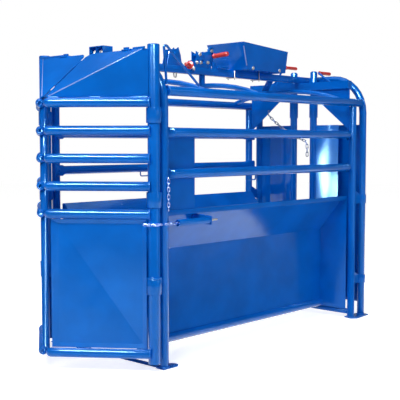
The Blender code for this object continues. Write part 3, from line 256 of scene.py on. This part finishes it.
# On a sharp fold the coat is painted pale blue: a painted highlight, the line of light that a rolled
# fold catches
paintedHighlightCoat = dict(powderCoat, blue="#8FA5DC", blueDeep="#7C94D0")
foldPaintedHighlight = makePowderCoat("powderCoatPaintedFoldHighlight", paintedHighlightCoat)
gripRed = makeDippedVinyl(dippedVinyl)
zinc = makeZincPlate("zincPlatedSteel", zincPlate)
# Chain zinc tinted blue: a painted reflection of the blue paint round the chains
paintedReflectionZinc = {"bright": "#A3B6DC", "dull": "#5474B4", "spangleMillimetres": 9}
chainPaintedReflection = makeZincPlate("zincChainPaintedBlueReflection", paintedReflectionZinc)
# A darker copy for the rear slack chain, with the same painted blue reflection
slackChainDarkerReflection = makeZincPlate("darkerZincChainWithPaintedReflection", dict(paintedReflectionZinc, bright="#8E9AB4", dull="#39456A"))
springWire = makeSpringWire(temperedWire)
print("materials made")

# Folded flat sheets are shaded flat; the other sheet pieces have tubes or bends in them
flatSheets = ("near_gate_hood", "far_gate_hood", "near_gate_pan", "far_gate_pan", "near_shield_panel",
              "tool_tray", "rear_header")
bentSheets = ("near_side_wall", "far_side_wall", "near_rear_leaf", "far_rear_leaf", "rear_arch")
slotLooks = {"blue_powder_coat": tubeBlue, "red_grip": gripRed, "zinc_plate": zinc,
             "spring_steel": springWire}
slotOf = {row["node"]: row["material_slot"] for row in frame["record"]["subparts"]}

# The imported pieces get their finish, and a soft edge that catches the light as rolled steel does
edgeSettings = {"mergeDistance": 0.00002, "edgeWidth": 0.0012, "sheetEdgeWidth": 0.0009,
                "edgeAngle": 33, "sheetAngle": 13}

for name, piece in frame["nodes"].items():
    flat = name in flatSheets
    sheet = flat or name in bentSheets
    look = sheetBlue if sheet else slotLooks[slotOf[name]]
    piece.data.materials.clear()
    piece.data.materials.append(look)
    if not flat:
        piece.data.shade_smooth()
    merge = piece.modifiers.new("joinTriangles", "WELD")
    merge.merge_threshold = edgeSettings["mergeDistance"]
    soften = piece.modifiers.new("softEdge", "BEVEL")
    soften.width = edgeSettings["sheetEdgeWidth" if sheet else "edgeWidth"]
    soften.segments = 2
    soften.limit_method = "ANGLE"
    soften.angle_limit = math.radians(edgeSettings["sheetAngle" if flat else "edgeAngle"])
    soften.harden_normals = not flat
print("packed pieces finished:", len(frame["nodes"]))


# Modelling helpers
def startPiece():
    if bpy.context.object and bpy.context.object.mode != "OBJECT":
        bpy.ops.object.mode_set(mode="OBJECT")
    bpy.ops.object.select_all(action="DESELECT")


def endPiece(piece, name, look, body, smoothAngle=35):
    startPiece()
    piece.name = name
    piece.data.name = name
    piece.select_set(True)
    bpy.context.view_layer.objects.active = piece
    bpy.ops.object.transform_apply(location=True, rotation=True, scale=True)
    bpy.ops.object.shade_smooth_by_angle(angle=math.radians(smoothAngle))
    piece.data.materials.clear()
    piece.data.materials.append(look)
    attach(piece, body)
    return piece


def turnTo(piece, direction):
    piece.rotation_mode = "QUATERNION"
    piece.rotation_quaternion = direction.to_track_quat("Z", "Y")


def joinPieces(pieces):
    startPiece()
    for piece in pieces:
        piece.select_set(True)
    bpy.context.view_layer.objects.active = pieces[0]
    bpy.ops.object.transform_apply(location=True, rotation=True, scale=True)
    bpy.ops.object.join()
    return bpy.context.object


def applyBevel(piece, width, segments=2):
    startPiece()
    piece.select_set(True)
    bpy.context.view_layer.objects.active = piece
    bpy.ops.object.transform_apply(location=False, rotation=False, scale=True)
    bevel = piece.modifiers.new("softEdge", "BEVEL")
    bevel.width = width
    bevel.segments = segments
    bevel.limit_method = "ANGLE"
    bpy.ops.object.modifier_apply(modifier="softEdge")


def addBlock(low, high, bevelWidth=0.001):
    startPiece()
    bpy.ops.mesh.primitive_cube_add(size=1, location=(low + high) / 2)
    piece = bpy.context.object
    piece.scale = high - low
    applyBevel(piece, bevelWidth)
    return piece


def addRod(start, end, radius, sidesCount=24, bevelWidth=0.0008):
    startPiece()
    bpy.ops.mesh.primitive_cylinder_add(vertices=sidesCount, radius=radius,
                                        depth=(end - start).length, location=(start + end) / 2)
    piece = bpy.context.object
    turnTo(piece, end - start)
    applyBevel(piece, bevelWidth)
    return piece


# A hexagon bolt head on its washer, the top face chamfered and dished as a rolled head is.
# The shares are of the width across flats.
boltShape = {
    "cornerShare": 1.1547, "headLift": 0.0015, "rimShare": 0.08, "rimRise": 0.05, "dishShare": 0.10,
    "dishDepth": 0.03, "washerShare": 0.66, "washerThickness": 0.0018, "bevel": 0.0004,
}


def addBolt(place, direction, across, height):
    axis = direction.normalized()
    startPiece()
    bpy.ops.mesh.primitive_cylinder_add(vertices=6, radius=across / 2 * boltShape["cornerShare"],
                                        depth=height,
                                        location=place + axis * (height / 2 + boltShape["headLift"]))
    head = bpy.context.object
    turnTo(head, axis)
    bpy.ops.object.mode_set(mode="EDIT")
    shape = bmesh.from_edit_mesh(head.data)
    for face in shape.faces:
        face.select_set(face.normal.z > 0.9)
    shape.select_flush_mode()
    bmesh.update_edit_mesh(head.data)
    bpy.ops.mesh.inset(thickness=across * boltShape["rimShare"], depth=across * boltShape["rimRise"])
    bpy.ops.mesh.inset(thickness=across * boltShape["dishShare"],
                       depth=-across * boltShape["dishDepth"])
    bpy.ops.object.mode_set(mode="OBJECT")
    applyBevel(head, boltShape["bevel"], 1)
    startPiece()
    thickness = boltShape["washerThickness"]
    bpy.ops.mesh.primitive_cylinder_add(vertices=24, radius=across * boltShape["washerShare"],
                                        depth=thickness, location=place + axis * thickness / 2)
    washer = bpy.context.object
    turnTo(washer, axis)
    applyBevel(washer, boltShape["bevel"], 1)
    return joinPieces([head, washer])


# A ring of weld round a tube: a torus, its inner half hidden in the metal
def addWeldRing(centre, axis, radius, bead):
    startPiece()
    bpy.ops.mesh.primitive_torus_add(major_segments=48, minor_segments=10, major_radius=radius,
                                     minor_radius=bead, location=centre)
    ring = bpy.context.object
    turnTo(ring, axis)
    return ring


# A bent rod through given points: a path made a tube, then a mesh. A bend takes up no more than
# this share of the straight beside it.
bendShare = 0.45


def addBentRod(points, radius, bendSteps=4, corner=0.010):
    rounded = [points[0]]
    for before, here, after in zip(points, points[1:], points[2:]):
        reach = min(corner, (before - here).length * bendShare, (after - here).length * bendShare)
        first = here + (before - here).normalized() * reach
        last = here + (after - here).normalized() * reach
        for i in range(bendSteps + 1):
            share = i / bendSteps
            rounded.append(first.lerp(here, share).lerp(here.lerp(last, share), share))
    rounded.append(points[-1])
    startPiece()
    bpy.ops.curve.primitive_nurbs_path_add(location=(0, 0, 0))
    path = bpy.context.object
    path.data.splines.clear()
    spline = path.data.splines.new("POLY")
    spline.points.add(len(rounded) - 1)
    for point, place in zip(spline.points, rounded):
        point.co = (*place, 1)
    path.data.bevel_depth = radius
    path.data.bevel_resolution = 4
    path.data.use_fill_caps = True
    bpy.ops.object.convert(target="MESH")
    return bpy.context.object


# Chain: one link is modelled, then copied along the route, each turned a quarter against the last
chainSettings = {
    "wire": 0.005, "pitch": 0.023, "insideWidth": 0.008, "height": 0.875,
    "wrapLinks": 6, "wrapTail": 0.055, "wrapClearance": 0.0008, "wrapSteps": 24,
    "springOut": 0.022, "springStart": 0.082, "runClearance": 0.001,
    "hangingLinks": 8, "hangingOut": 0.011, "hangingLow": 0.077,
    "hookWire": 0.0035, "hookCorner": 0.006, "eyeAbove": 0.010, "eyeBelow": 0.006,
}
slackSettings = {
    "wire": 0.0065, "pitch": 0.031, "insideWidth": 0.0105, "plateGap": 0.0033, "chainGap": 0.026,
    "route": ((-0.283, 1.584), (-0.235, 1.540), (-0.179, 1.500), (-0.110, 1.458), (-0.045, 1.421),
              (0.023, 1.393), (0.066, 1.378), (0.092, 1.366), (0.103, 1.350), (0.106, 1.330),
              (0.107, 1.240)),
    "hookX": -0.286, "hookTop": 1.620, "hookFoot": (-0.284, 1.576),
}


def modelLink(settings):
    startPiece()
    wireRadius = settings["wire"] / 2
    bend = settings["insideWidth"] / 2 + wireRadius
    straight = settings["pitch"] / 2 + wireRadius - bend
    bpy.ops.mesh.primitive_torus_add(major_segments=20, minor_segments=10, major_radius=bend,
                                     minor_radius=wireRadius)
    link = bpy.context.object
    bpy.ops.object.mode_set(mode="EDIT")
    for end in (1, -1):
        shape = bmesh.from_edit_mesh(link.data)
        for vertex in shape.verts:
            vertex.select_set(vertex.co.x * end > 0.0002)
        shape.select_flush_mode()
        bmesh.update_edit_mesh(link.data)
        bpy.ops.transform.translate(value=(end * straight, 0, 0))
    bpy.ops.object.mode_set(mode="OBJECT")
    return link


def pointAlong(route, distance):
    for start, end in zip(route, route[1:]):
        length = (end - start).length
        if distance <= length:
            return start.lerp(end, distance / length)
        distance -= length
    return route[-1] + (route[-1] - route[-2]).normalized() * distance


def hangChain(route, face, settings, count=None):
    total = sum((b - a).length for a, b in zip(route, route[1:]))
    number = count or int(total / settings["pitch"])
    model = modelLink(settings)
    links = []
    for i in range(number):
        start = pointAlong(route, i * settings["pitch"])
        end = pointAlong(route, (i + 1) * settings["pitch"])
        along = (end - start).normalized()
        middle = (start + end) / 2
        across = along.cross(face(middle)).normalized()
        turned = Matrix.Rotation(math.pi / 4 + (i % 2) * math.pi / 2, 3, along) @ across
        link = model.copy()
        link.data = model.data.copy()
        bpy.context.scene.collection.objects.link(link)
        matrix = Matrix((along, turned, along.cross(turned))).transposed().to_4x4()
        matrix.translation = middle
        link.matrix_world = matrix
        links.append(link)
    bpy.data.objects.remove(model)
    return links


def makeSpringChains(settings):
    pitch, height, up = settings["pitch"], settings["height"], Vector((0, 0, 1))
    half = places["halfWidth"]
    wrapRadius = (places["hingeRadius"] + settings["wrapClearance"] + settings["insideWidth"] / 2 +
                  settings["wire"])
    springX = half + places["postRadius"] + settings["springOut"]
    sweep = (settings["wrapLinks"] * pitch - settings["wrapTail"]) / wrapRadius
    for name, side in sides:
        along, out = gateAxes(side)
        centre = at(side * half, 0, height)
        runEnd = at(side * (half + wrapRadius), wrapRadius + settings["runClearance"], height)
        runStart = at(side * springX, places["frontPostY"] + settings["springStart"], height)
        count = int((runEnd - runStart).length / pitch)
        toward = (runEnd - runStart).normalized()
        run = hangChain([runEnd - toward * (count * pitch), runEnd], lambda p: up, settings, count)
        piece = endPiece(joinPieces(run), name + "SpringChain", chainPaintedReflection, "frame")
        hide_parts(name + "_spring_chain")
        square = math.atan2(out.y, out.x * side)
        route = []
        for i in range(settings["wrapSteps"] + 1):
            angle = square + sweep * (1 - i / settings["wrapSteps"])
            route.append(centre + Vector((side * math.cos(angle), math.sin(angle), 0)) * wrapRadius)
        route.append(centre + along * (settings["wrapTail"] + pitch) + out * wrapRadius)
        wrap = hangChain(route, lambda p: (p - centre) - along * max((p - centre).dot(along), 0),
                         settings, settings["wrapLinks"])
        piece = endPiece(joinPieces(wrap), name + "ChainWrap", chainPaintedReflection, name + "_gate")
        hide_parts(name + "_chain_wrap")


def makeHangingChain(settings):
    x = places["halfWidth"] + places["postRadius"] + settings["hangingOut"]
    y = places["frontPostY"]
    drop = settings["hangingLinks"] * settings["pitch"]
    top = settings["height"] + settings["hangingLow"] + drop
    links = hangChain([at(x, y, top), at(x, y, top - drop)], lambda p: Vector((1, 0, 0)), settings,
                      settings["hangingLinks"])
    eyeTop = top + settings["eyeAbove"]
    eye = addBentRod([at(x - settings["hangingOut"], y, eyeTop), at(x, y, eyeTop),
                      at(x, y, top - settings["eyeBelow"])],
                     settings["hookWire"], corner=settings["hookCorner"])
    piece = endPiece(joinPieces(links + [eye]), "frontHangingChain", chainPaintedReflection, "frame")
    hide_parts("front_hanging_chain")


def makeSlackChain(settings, hookSettings):
    y = places["rearPostY"] - settings["chainGap"]
    route = [at(x, y, z) for x, z in settings["route"]]
    links = hangChain(route, lambda p: Vector((0, 1, 0)), settings)
    plateY = places["rearPostY"] - settings["plateGap"]
    footX, footZ = settings["hookFoot"]
    hook = addBentRod([at(settings["hookX"], plateY, settings["hookTop"]),
                       at(settings["hookX"], y, settings["hookTop"]), at(footX, y, footZ)],
                      hookSettings["hookWire"], corner=hookSettings["hookCorner"])
    piece = endPiece(joinPieces(links + [hook]), "rearSlackChain", slackChainDarkerReflection, "frame")
    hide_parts("rear_slack_chain")


makeSpringChains(chainSettings)
makeHangingChain(chainSettings)
makeSlackChain(slackSettings, chainSettings)
print("chains hung")

# Weld beads where tubes meet plates and each other
weldSettings = {"footBead": 0.0042, "footPlateTop": 0.009, "railBead": 0.004, "railRadius": 0.029,
                "gateRailRadius": 0.0275, "gateRailStart": 0.020, "gateRailCount": 5}


def makeFrameWelds(settings):
    half, radius = places["halfWidth"], places["postRadius"]
    front, rear, arch = places["frontPostY"], places["rearPostY"], places["rearArchY"]
    rings = []
    for side in (1, -1):
        for y in (front, rear, arch):
            foot = at(side * half, y, settings["footPlateTop"])
            rings.append(addWeldRing(foot, Vector((0, 0, 1)), radius, settings["footBead"]))
        for y in (front + radius, arch - radius):
            end = at(side * half, y, places["sideRailTop"])
            rings.append(addWeldRing(end, Vector((0, 1, 0)), settings["railRadius"],
                                     settings["railBead"]))
    endPiece(joinPieces(rings), "frameWelds", weldBlue, "frame")


def makeGateWelds(settings):
    heights = [places["gateRailTop"] - i * places["gateRailPitch"]
               for i in range(settings["gateRailCount"])] + [places["gateFootRail"]]
    for name, side in sides:
        along, out = gateAxes(side)
        start = at(side * places["halfWidth"], 0, 0) + along * settings["gateRailStart"]
        start += out * places["leafOut"]
        rings = [addWeldRing(start + Vector((0, 0, z)), along, settings["gateRailRadius"],
                             settings["railBead"]) for z in heights]
        endPiece(joinPieces(rings), name + "GateWelds", weldBlue, name + "_gate")


makeFrameWelds(weldSettings)
makeGateWelds(weldSettings)
print("weld beads laid")

# Hood trim: rolled folds, a flange and a lug on each top edge, stitch welds along the foot
hoodSettings = {
    "noseAlong": 0.627, "peakAlong": 0.063, "foot": 1.6198, "top": 1.896, "peakBelow": 0.002,
    "foldRadius": 0.0042, "foldShown": 0.45, "foldStart": 0.02, "farFoldInset": (0.014, 0.030),
    "stitchRadius": 0.0055, "stitchSink": 0.001,
    "stitches": ((0.56, 0.615), (0.31, 0.37), (0.035, 0.125)),
    "trimSink": 0.004, "flangeHeight": 0.013, "flangeDepth": 0.006,
    "flangeReach": {"near": (0.40, 0.500), "far": (0.20, 0.478)},
    "lugReach": {"near": (0.315, 0.400), "far": (0.185, 0.275)},
    "lugDepth": (-0.012, 0.022), "lugHeight": 0.009,
    "earFrom": 0.030, "earHalf": 0.018, "earDepth": (-0.006, 0.010), "earLow": 0.006, "earHigh": 0.004,
    "lugBevel": 0.002,
}


def makeHoodFold(name, side, settings):
    along, out = gateAxes(side)
    hinge = at(side * places["halfWidth"], 0, 0)
    line = hinge + out * (places["leafOut"] - settings["foldRadius"] * settings["foldShown"])
    nose = line + along * settings["noseAlong"] + Vector((0, 0, settings["foot"]))
    peakHeight = Vector((0, 0, settings["top"] - settings["peakBelow"]))
    peak = line + along * settings["peakAlong"] + peakHeight
    if side < 0:
        nose.x += settings["farFoldInset"][0]
        peak.x += settings["farFoldInset"][1]
    fold = addRod(nose.lerp(peak, settings["foldStart"]), peak, settings["foldRadius"])
    # The fold rod is painted pale: a painted highlight along the fold
    endPiece(fold, name + "HoodFold", foldPaintedHighlight, name + "_gate")


def makeHoodStitches(name, side, settings):
    along, out = gateAxes(side)
    foot = at(side * places["halfWidth"], 0, settings["foot"] - settings["stitchSink"])
    foot += out * (places["leafOut"] - settings["stitchSink"])
    beads = [addBentRod([foot + along * start, foot + along * end], settings["stitchRadius"])
             for start, end in settings["stitches"]]
    endPiece(joinPieces(beads), name + "HoodStitches", weldBlue, name + "_gate")


# A block on the hood's top edge, from one distance from the middle to another
def addHoodBlock(side, reach, depth, heights, bevelWidth=0.001):
    ends = sorted(side * x for x in reach)
    return addBlock(Vector((ends[0], depth[0], heights[0])), Vector((ends[1], depth[1], heights[1])),
                    bevelWidth)


def makeHoodFlange(name, side, settings):
    along, out = gateAxes(side)
    hinge = at(side * places["halfWidth"], 0, 0)
    y = (hinge + along * settings["peakAlong"] + out * places["leafOut"]).y
    low, high = settings["top"] - settings["trimSink"], settings["top"] + settings["flangeHeight"]
    lug = settings["lugReach"][name]
    ear = lug[0] + settings["earFrom"]
    flange = addHoodBlock(side, settings["flangeReach"][name], (y, y + settings["flangeDepth"]),
                          (low, high))
    plate = addHoodBlock(side, lug, [y + d for d in settings["lugDepth"]],
                         (low, low + settings["lugHeight"]), settings["lugBevel"])
    tab = addHoodBlock(side, (ear - settings["earHalf"], ear + settings["earHalf"]),
                       [y + d for d in settings["earDepth"]],
                       (low + settings["earLow"], high + settings["earHigh"]), settings["lugBevel"])
    endPiece(joinPieces([flange, plate, tab]), name + "HoodFlange", tubeBlue, name + "_gate")


# Tray: rolled front corners, and carriage bolts low on each side
traySettings = {
    "topFront": (0.175, 1.228, 2.045), "baseFront": (0.150, 1.300, 1.8833), "foldRadius": 0.0042,
    "foldInset": 0.0016, "foldBelow": 0.003, "foldLength": 0.84,
    "sideTilt": (0.160, 0, -0.025), "faceAtBase": 0.1497, "spread": 0.025, "height": 0.162,
    "boltPlaces": ((1.359, 1.894), (1.675, 1.895)), "boltAcross": 0.022, "boltHeight": 0.007,
}


def makeTrayTrim(settings):
    for name, side in sides:
        top, base = (at(side * x, y, z) for x, y, z in (settings["topFront"], settings["baseFront"]))
        inward = Vector((-side * settings["foldInset"], settings["foldInset"], 0))
        below = Vector((0, 0, settings["foldBelow"]))
        corner = addRod(top + inward - below, top.lerp(base, settings["foldLength"]) + inward,
                        settings["foldRadius"])
        # The corner rod is painted pale: a painted highlight along the rolled corner
        endPiece(corner, name + "TrayCorner", foldPaintedHighlight, "frame")
    tilt = Vector(settings["sideTilt"]).normalized()
    baseZ = settings["baseFront"][2]
    bolts = []
    for side in (1, -1):
        for y, z in settings["boltPlaces"]:
            x = settings["faceAtBase"] + settings["spread"] * (z - baseZ) / settings["height"]
            bolts.append(addBolt(at(side * x, y, z), Vector((side * tilt.x, 0, tilt.z)),
                                 settings["boltAcross"], settings["boltHeight"]))
    endPiece(joinPieces(bolts), "trayBolts", zinc, "frame")


# Beam gear: bolts through the cheeks, the eye under the beam, a stop tube and the trip lever's loop
beamSettings = {
    "boltFace": 0.0235, "boltAcross": 0.019, "boltHeight": 0.008,
    "boltPlaces": ((0.9013, 1.912), (0.9393, 1.9132), (1.0156, 1.9178), (0.931, 1.9693)),
    "eyePlace": (0, 0.708, 1.811), "eyeRadius": 0.012, "eyeWire": 0.0045, "eyeTop": 1.832,
    "stopTube": ((0.036, 1.100, 1.8904), (0.036, 1.2146, 1.8903)), "stopRadius": 0.0085,
    "saddle": ((0.024, 1.120, 1.878), (0.038, 1.200, 1.889)),
    "loopX": 0.010, "loopRadius": 0.006,
    "loop": ((1.040, 1.985), (1.036, 2.012), (1.052, 2.029), (1.082, 2.029), (1.090, 2.012),
             (1.088, 1.975)),
    "tripBolt": (0.0042, 1.078, 2.004),
}


def makeBeamGear(settings):
    outward = Vector((1, 0, 0))
    across, thick = settings["boltAcross"], settings["boltHeight"]
    bolts = [addBolt(at(settings["boltFace"], y, z), outward, across, thick)
             for y, z in settings["boltPlaces"]]
    endPiece(joinPieces(bolts), "cheekBolts", zinc, "frame")
    x, y, z = settings["eyePlace"]
    r, top = settings["eyeRadius"], settings["eyeTop"]
    route = [at(x, y + dy, height) for dy, height in
             ((-r, top), (-r, z), (-r * 0.6, z - r), (r * 0.6, z - r), (r, z), (r, top))]
    endPiece(addBentRod(route, settings["eyeWire"]), "beamEye", zinc, "frame")
    start, end = (at(*place) for place in settings["stopTube"])
    tube = addRod(start, end, settings["stopRadius"])
    saddle = addBlock(*(at(*corner) for corner in settings["saddle"]))
    endPiece(joinPieces([tube, saddle]), "beamStopTube", tubeBlue, "frame")
    loop = addBentRod([at(settings["loopX"], y, z) for y, z in settings["loop"]],
                      settings["loopRadius"])
    endPiece(loop, "tripLoop", tubeBlue, "trip_handle")
    bolt = addBolt(at(*settings["tripBolt"]), outward, across, thick)
    endPiece(bolt, "tripBolt", zinc, "trip_handle")


for name, side in sides:
    makeHoodFold(name, side, hoodSettings)
    makeHoodStitches(name, side, hoodSettings)
    makeHoodFlange(name, side, hoodSettings)
makeTrayTrim(traySettings)
makeBeamGear(beamSettings)
print("trim and fittings made")

# Stage: white floor and backdrop, soft studio lamps, and the camera at the photograph's angle
lamps = {  # place, target, size and power
    "keyPanel": ((1.67, -4.94, 5.6), (0, -0.8, 1.0), (3.6, 0.6), 230),
    "stripPanel": ((1.6, -3.57, 4.85), (0.25, -1.15, 1.3), (4.2, 1.3), 1900),
    "sidePanel": ((6.0, 0.5, 2.6), (0.3, 0, 0.9), (3.0, 2.0), 50),
    "topPanel": ((-0.5, -0.5, 5.2), (0, 0, 0), (4.0, 4.0), 110),
}

stageSettings = {
    "floorSize": 40,
    "floorBelow": 0.0005,
    "paperReach": 3.5,
    "floorLift": 0.68,  # for the camera alone: the floor reads white and keeps the shadow
    "skyStrength": 0.34,
    "horizon": "#8C96A8",
    "ceiling": "#3C4048",
    "floorTint": "#F4F4F4",
    "paperEnd": 7.0,
    "paperShine": 1.4,
    "ceilingFrom": 0.45,
    "cameraPlace": (4.098, -4.4904, 1.349),
    "azimuth": 42.440,
    "lookDown": 3.768,
    "lens": 77.216,
    "sensor": 36,
    "clipEnd": 100,
}


def makeStage(settings):
    startPiece()
    bpy.ops.mesh.primitive_plane_add(size=settings["floorSize"],
                                     location=(0, 0, -settings["floorBelow"]))
    floor = bpy.context.object
    floor.name = "studioFloor"
    material, tree, place = startMaterial("whiteStudioFloor")
    diffuse = addNode(tree, "ShaderNodeBsdfDiffuse", {"Color": hexColour(settings["floorTint"])})
    rays = addNode(tree, "ShaderNodeLightPath")
    # Reflections show the floor as bright as the camera does, up to where the white paper ends
    far = addNode(tree, "ShaderNodeVectorMath", {"operation": "LENGTH"}, {0: place})
    paper = addNode(tree, "ShaderNodeMapRange",
                    {"From Min": settings["paperReach"], "From Max": settings["paperEnd"],
                     "To Min": settings["paperShine"], "To Max": 0.0}, {"Value": far.outputs["Value"]})
    shine = addNode(tree, "ShaderNodeMath", {"operation": "MULTIPLY"},
                    {0: rays.outputs["Is Glossy Ray"], 1: paper.outputs["Result"]})
    lift = addNode(tree, "ShaderNodeMath", {"operation": "MULTIPLY_ADD", 1: settings["floorLift"]},
                   {0: rays.outputs["Is Camera Ray"], 2: shine.outputs[0]})
    glow = addNode(tree, "ShaderNodeEmission", {"Color": (1, 1, 1, 1)},
                   {"Strength": lift.outputs[0]})
    mixed = addNode(tree, "ShaderNodeAddShader", links={0: diffuse.outputs[0], 1: glow.outputs[0]})
    endMaterial(tree, mixed)
    floor.data.materials.append(material)

    world = bpy.data.worlds.new("studio")
    bpy.context.scene.world = world
    world.use_nodes = True
    tree = world.node_tree
    tree.nodes.clear()
    rays = addNode(tree, "ShaderNodeLightPath")
    bare = addNode(tree, "ShaderNodeMath", {"operation": "MAXIMUM"},
                   {0: rays.outputs["Is Glossy Ray"], 1: rays.outputs["Is Transmission Ray"]})
    seen = addNode(tree, "ShaderNodeMath", {"operation": "MAXIMUM"},
                   {0: rays.outputs["Is Camera Ray"], 1: bare.outputs[0]})
    strength = addNode(tree, "ShaderNodeMapRange", {"To Min": settings["skyStrength"], "To Max": 1.0},
                       {"Value": seen.outputs[0]})
    # The backdrop is white low down and the studio's ceiling is dim, which only reflections show
    direction = addNode(tree, "ShaderNodeTexCoord").outputs["Generated"]
    height = addNode(tree, "ShaderNodeSeparateXYZ", links={"Vector": direction}).outputs["Z"]
    studio = colourRamp(tree, height, ((0.0, hexColour(settings["horizon"])),
                                       (settings["ceilingFrom"], hexColour(settings["ceiling"]))))
    colour = addNode(tree, "ShaderNodeMix", {"data_type": "RGBA"})
    tree.links.new(bare.outputs[0], colour.inputs[0])
    colour.inputs[6].default_value = (1, 1, 1, 1)
    tree.links.new(studio, colour.inputs[7])
    sky = addNode(tree, "ShaderNodeBackground", links={"Color": colour.outputs[2],
                                                       "Strength": strength.outputs["Result"]})
    addNode(tree, "ShaderNodeOutputWorld", links={"Surface": sky.outputs[0]})


def addLamp(name, place, target, size, power):
    startPiece()
    bpy.ops.object.light_add(type="AREA", location=place)
    lamp = bpy.context.object
    lamp.name = name
    lamp.data.shape = "RECTANGLE"
    lamp.data.size, lamp.data.size_y = size
    lamp.data.energy = power
    turnTo(lamp, Vector(place) - Vector(target))
    return lamp


def makeLights():
    for name, (place, target, size, power) in lamps.items():
        lamp = addLamp(name, place, target, size, power)
        # The strip is seen only in reflections: it draws the pale line along the round rails
        lamp.visible_diffuse = name != "stripPanel"


def makeCamera(settings):
    startPiece()
    bpy.ops.object.camera_add(location=settings["cameraPlace"])
    camera = bpy.context.object
    a, e = math.radians(settings["azimuth"]), math.radians(settings["lookDown"])
    back = Vector((math.sin(a) * math.cos(e), -math.cos(a) * math.cos(e), math.sin(e)))
    camera.rotation_mode = "QUATERNION"
    camera.rotation_quaternion = (-back).to_track_quat("-Z", "Y")
    camera.data.sensor_width = settings["sensor"]
    camera.data.lens = settings["lens"]
    camera.data.clip_end = settings["clipEnd"]
    bpy.context.scene.camera = camera


makeStage(stageSettings)
makeLights()
makeCamera(stageSettings)
bpy.context.scene.view_settings.view_transform = "Standard"
print("stage set")
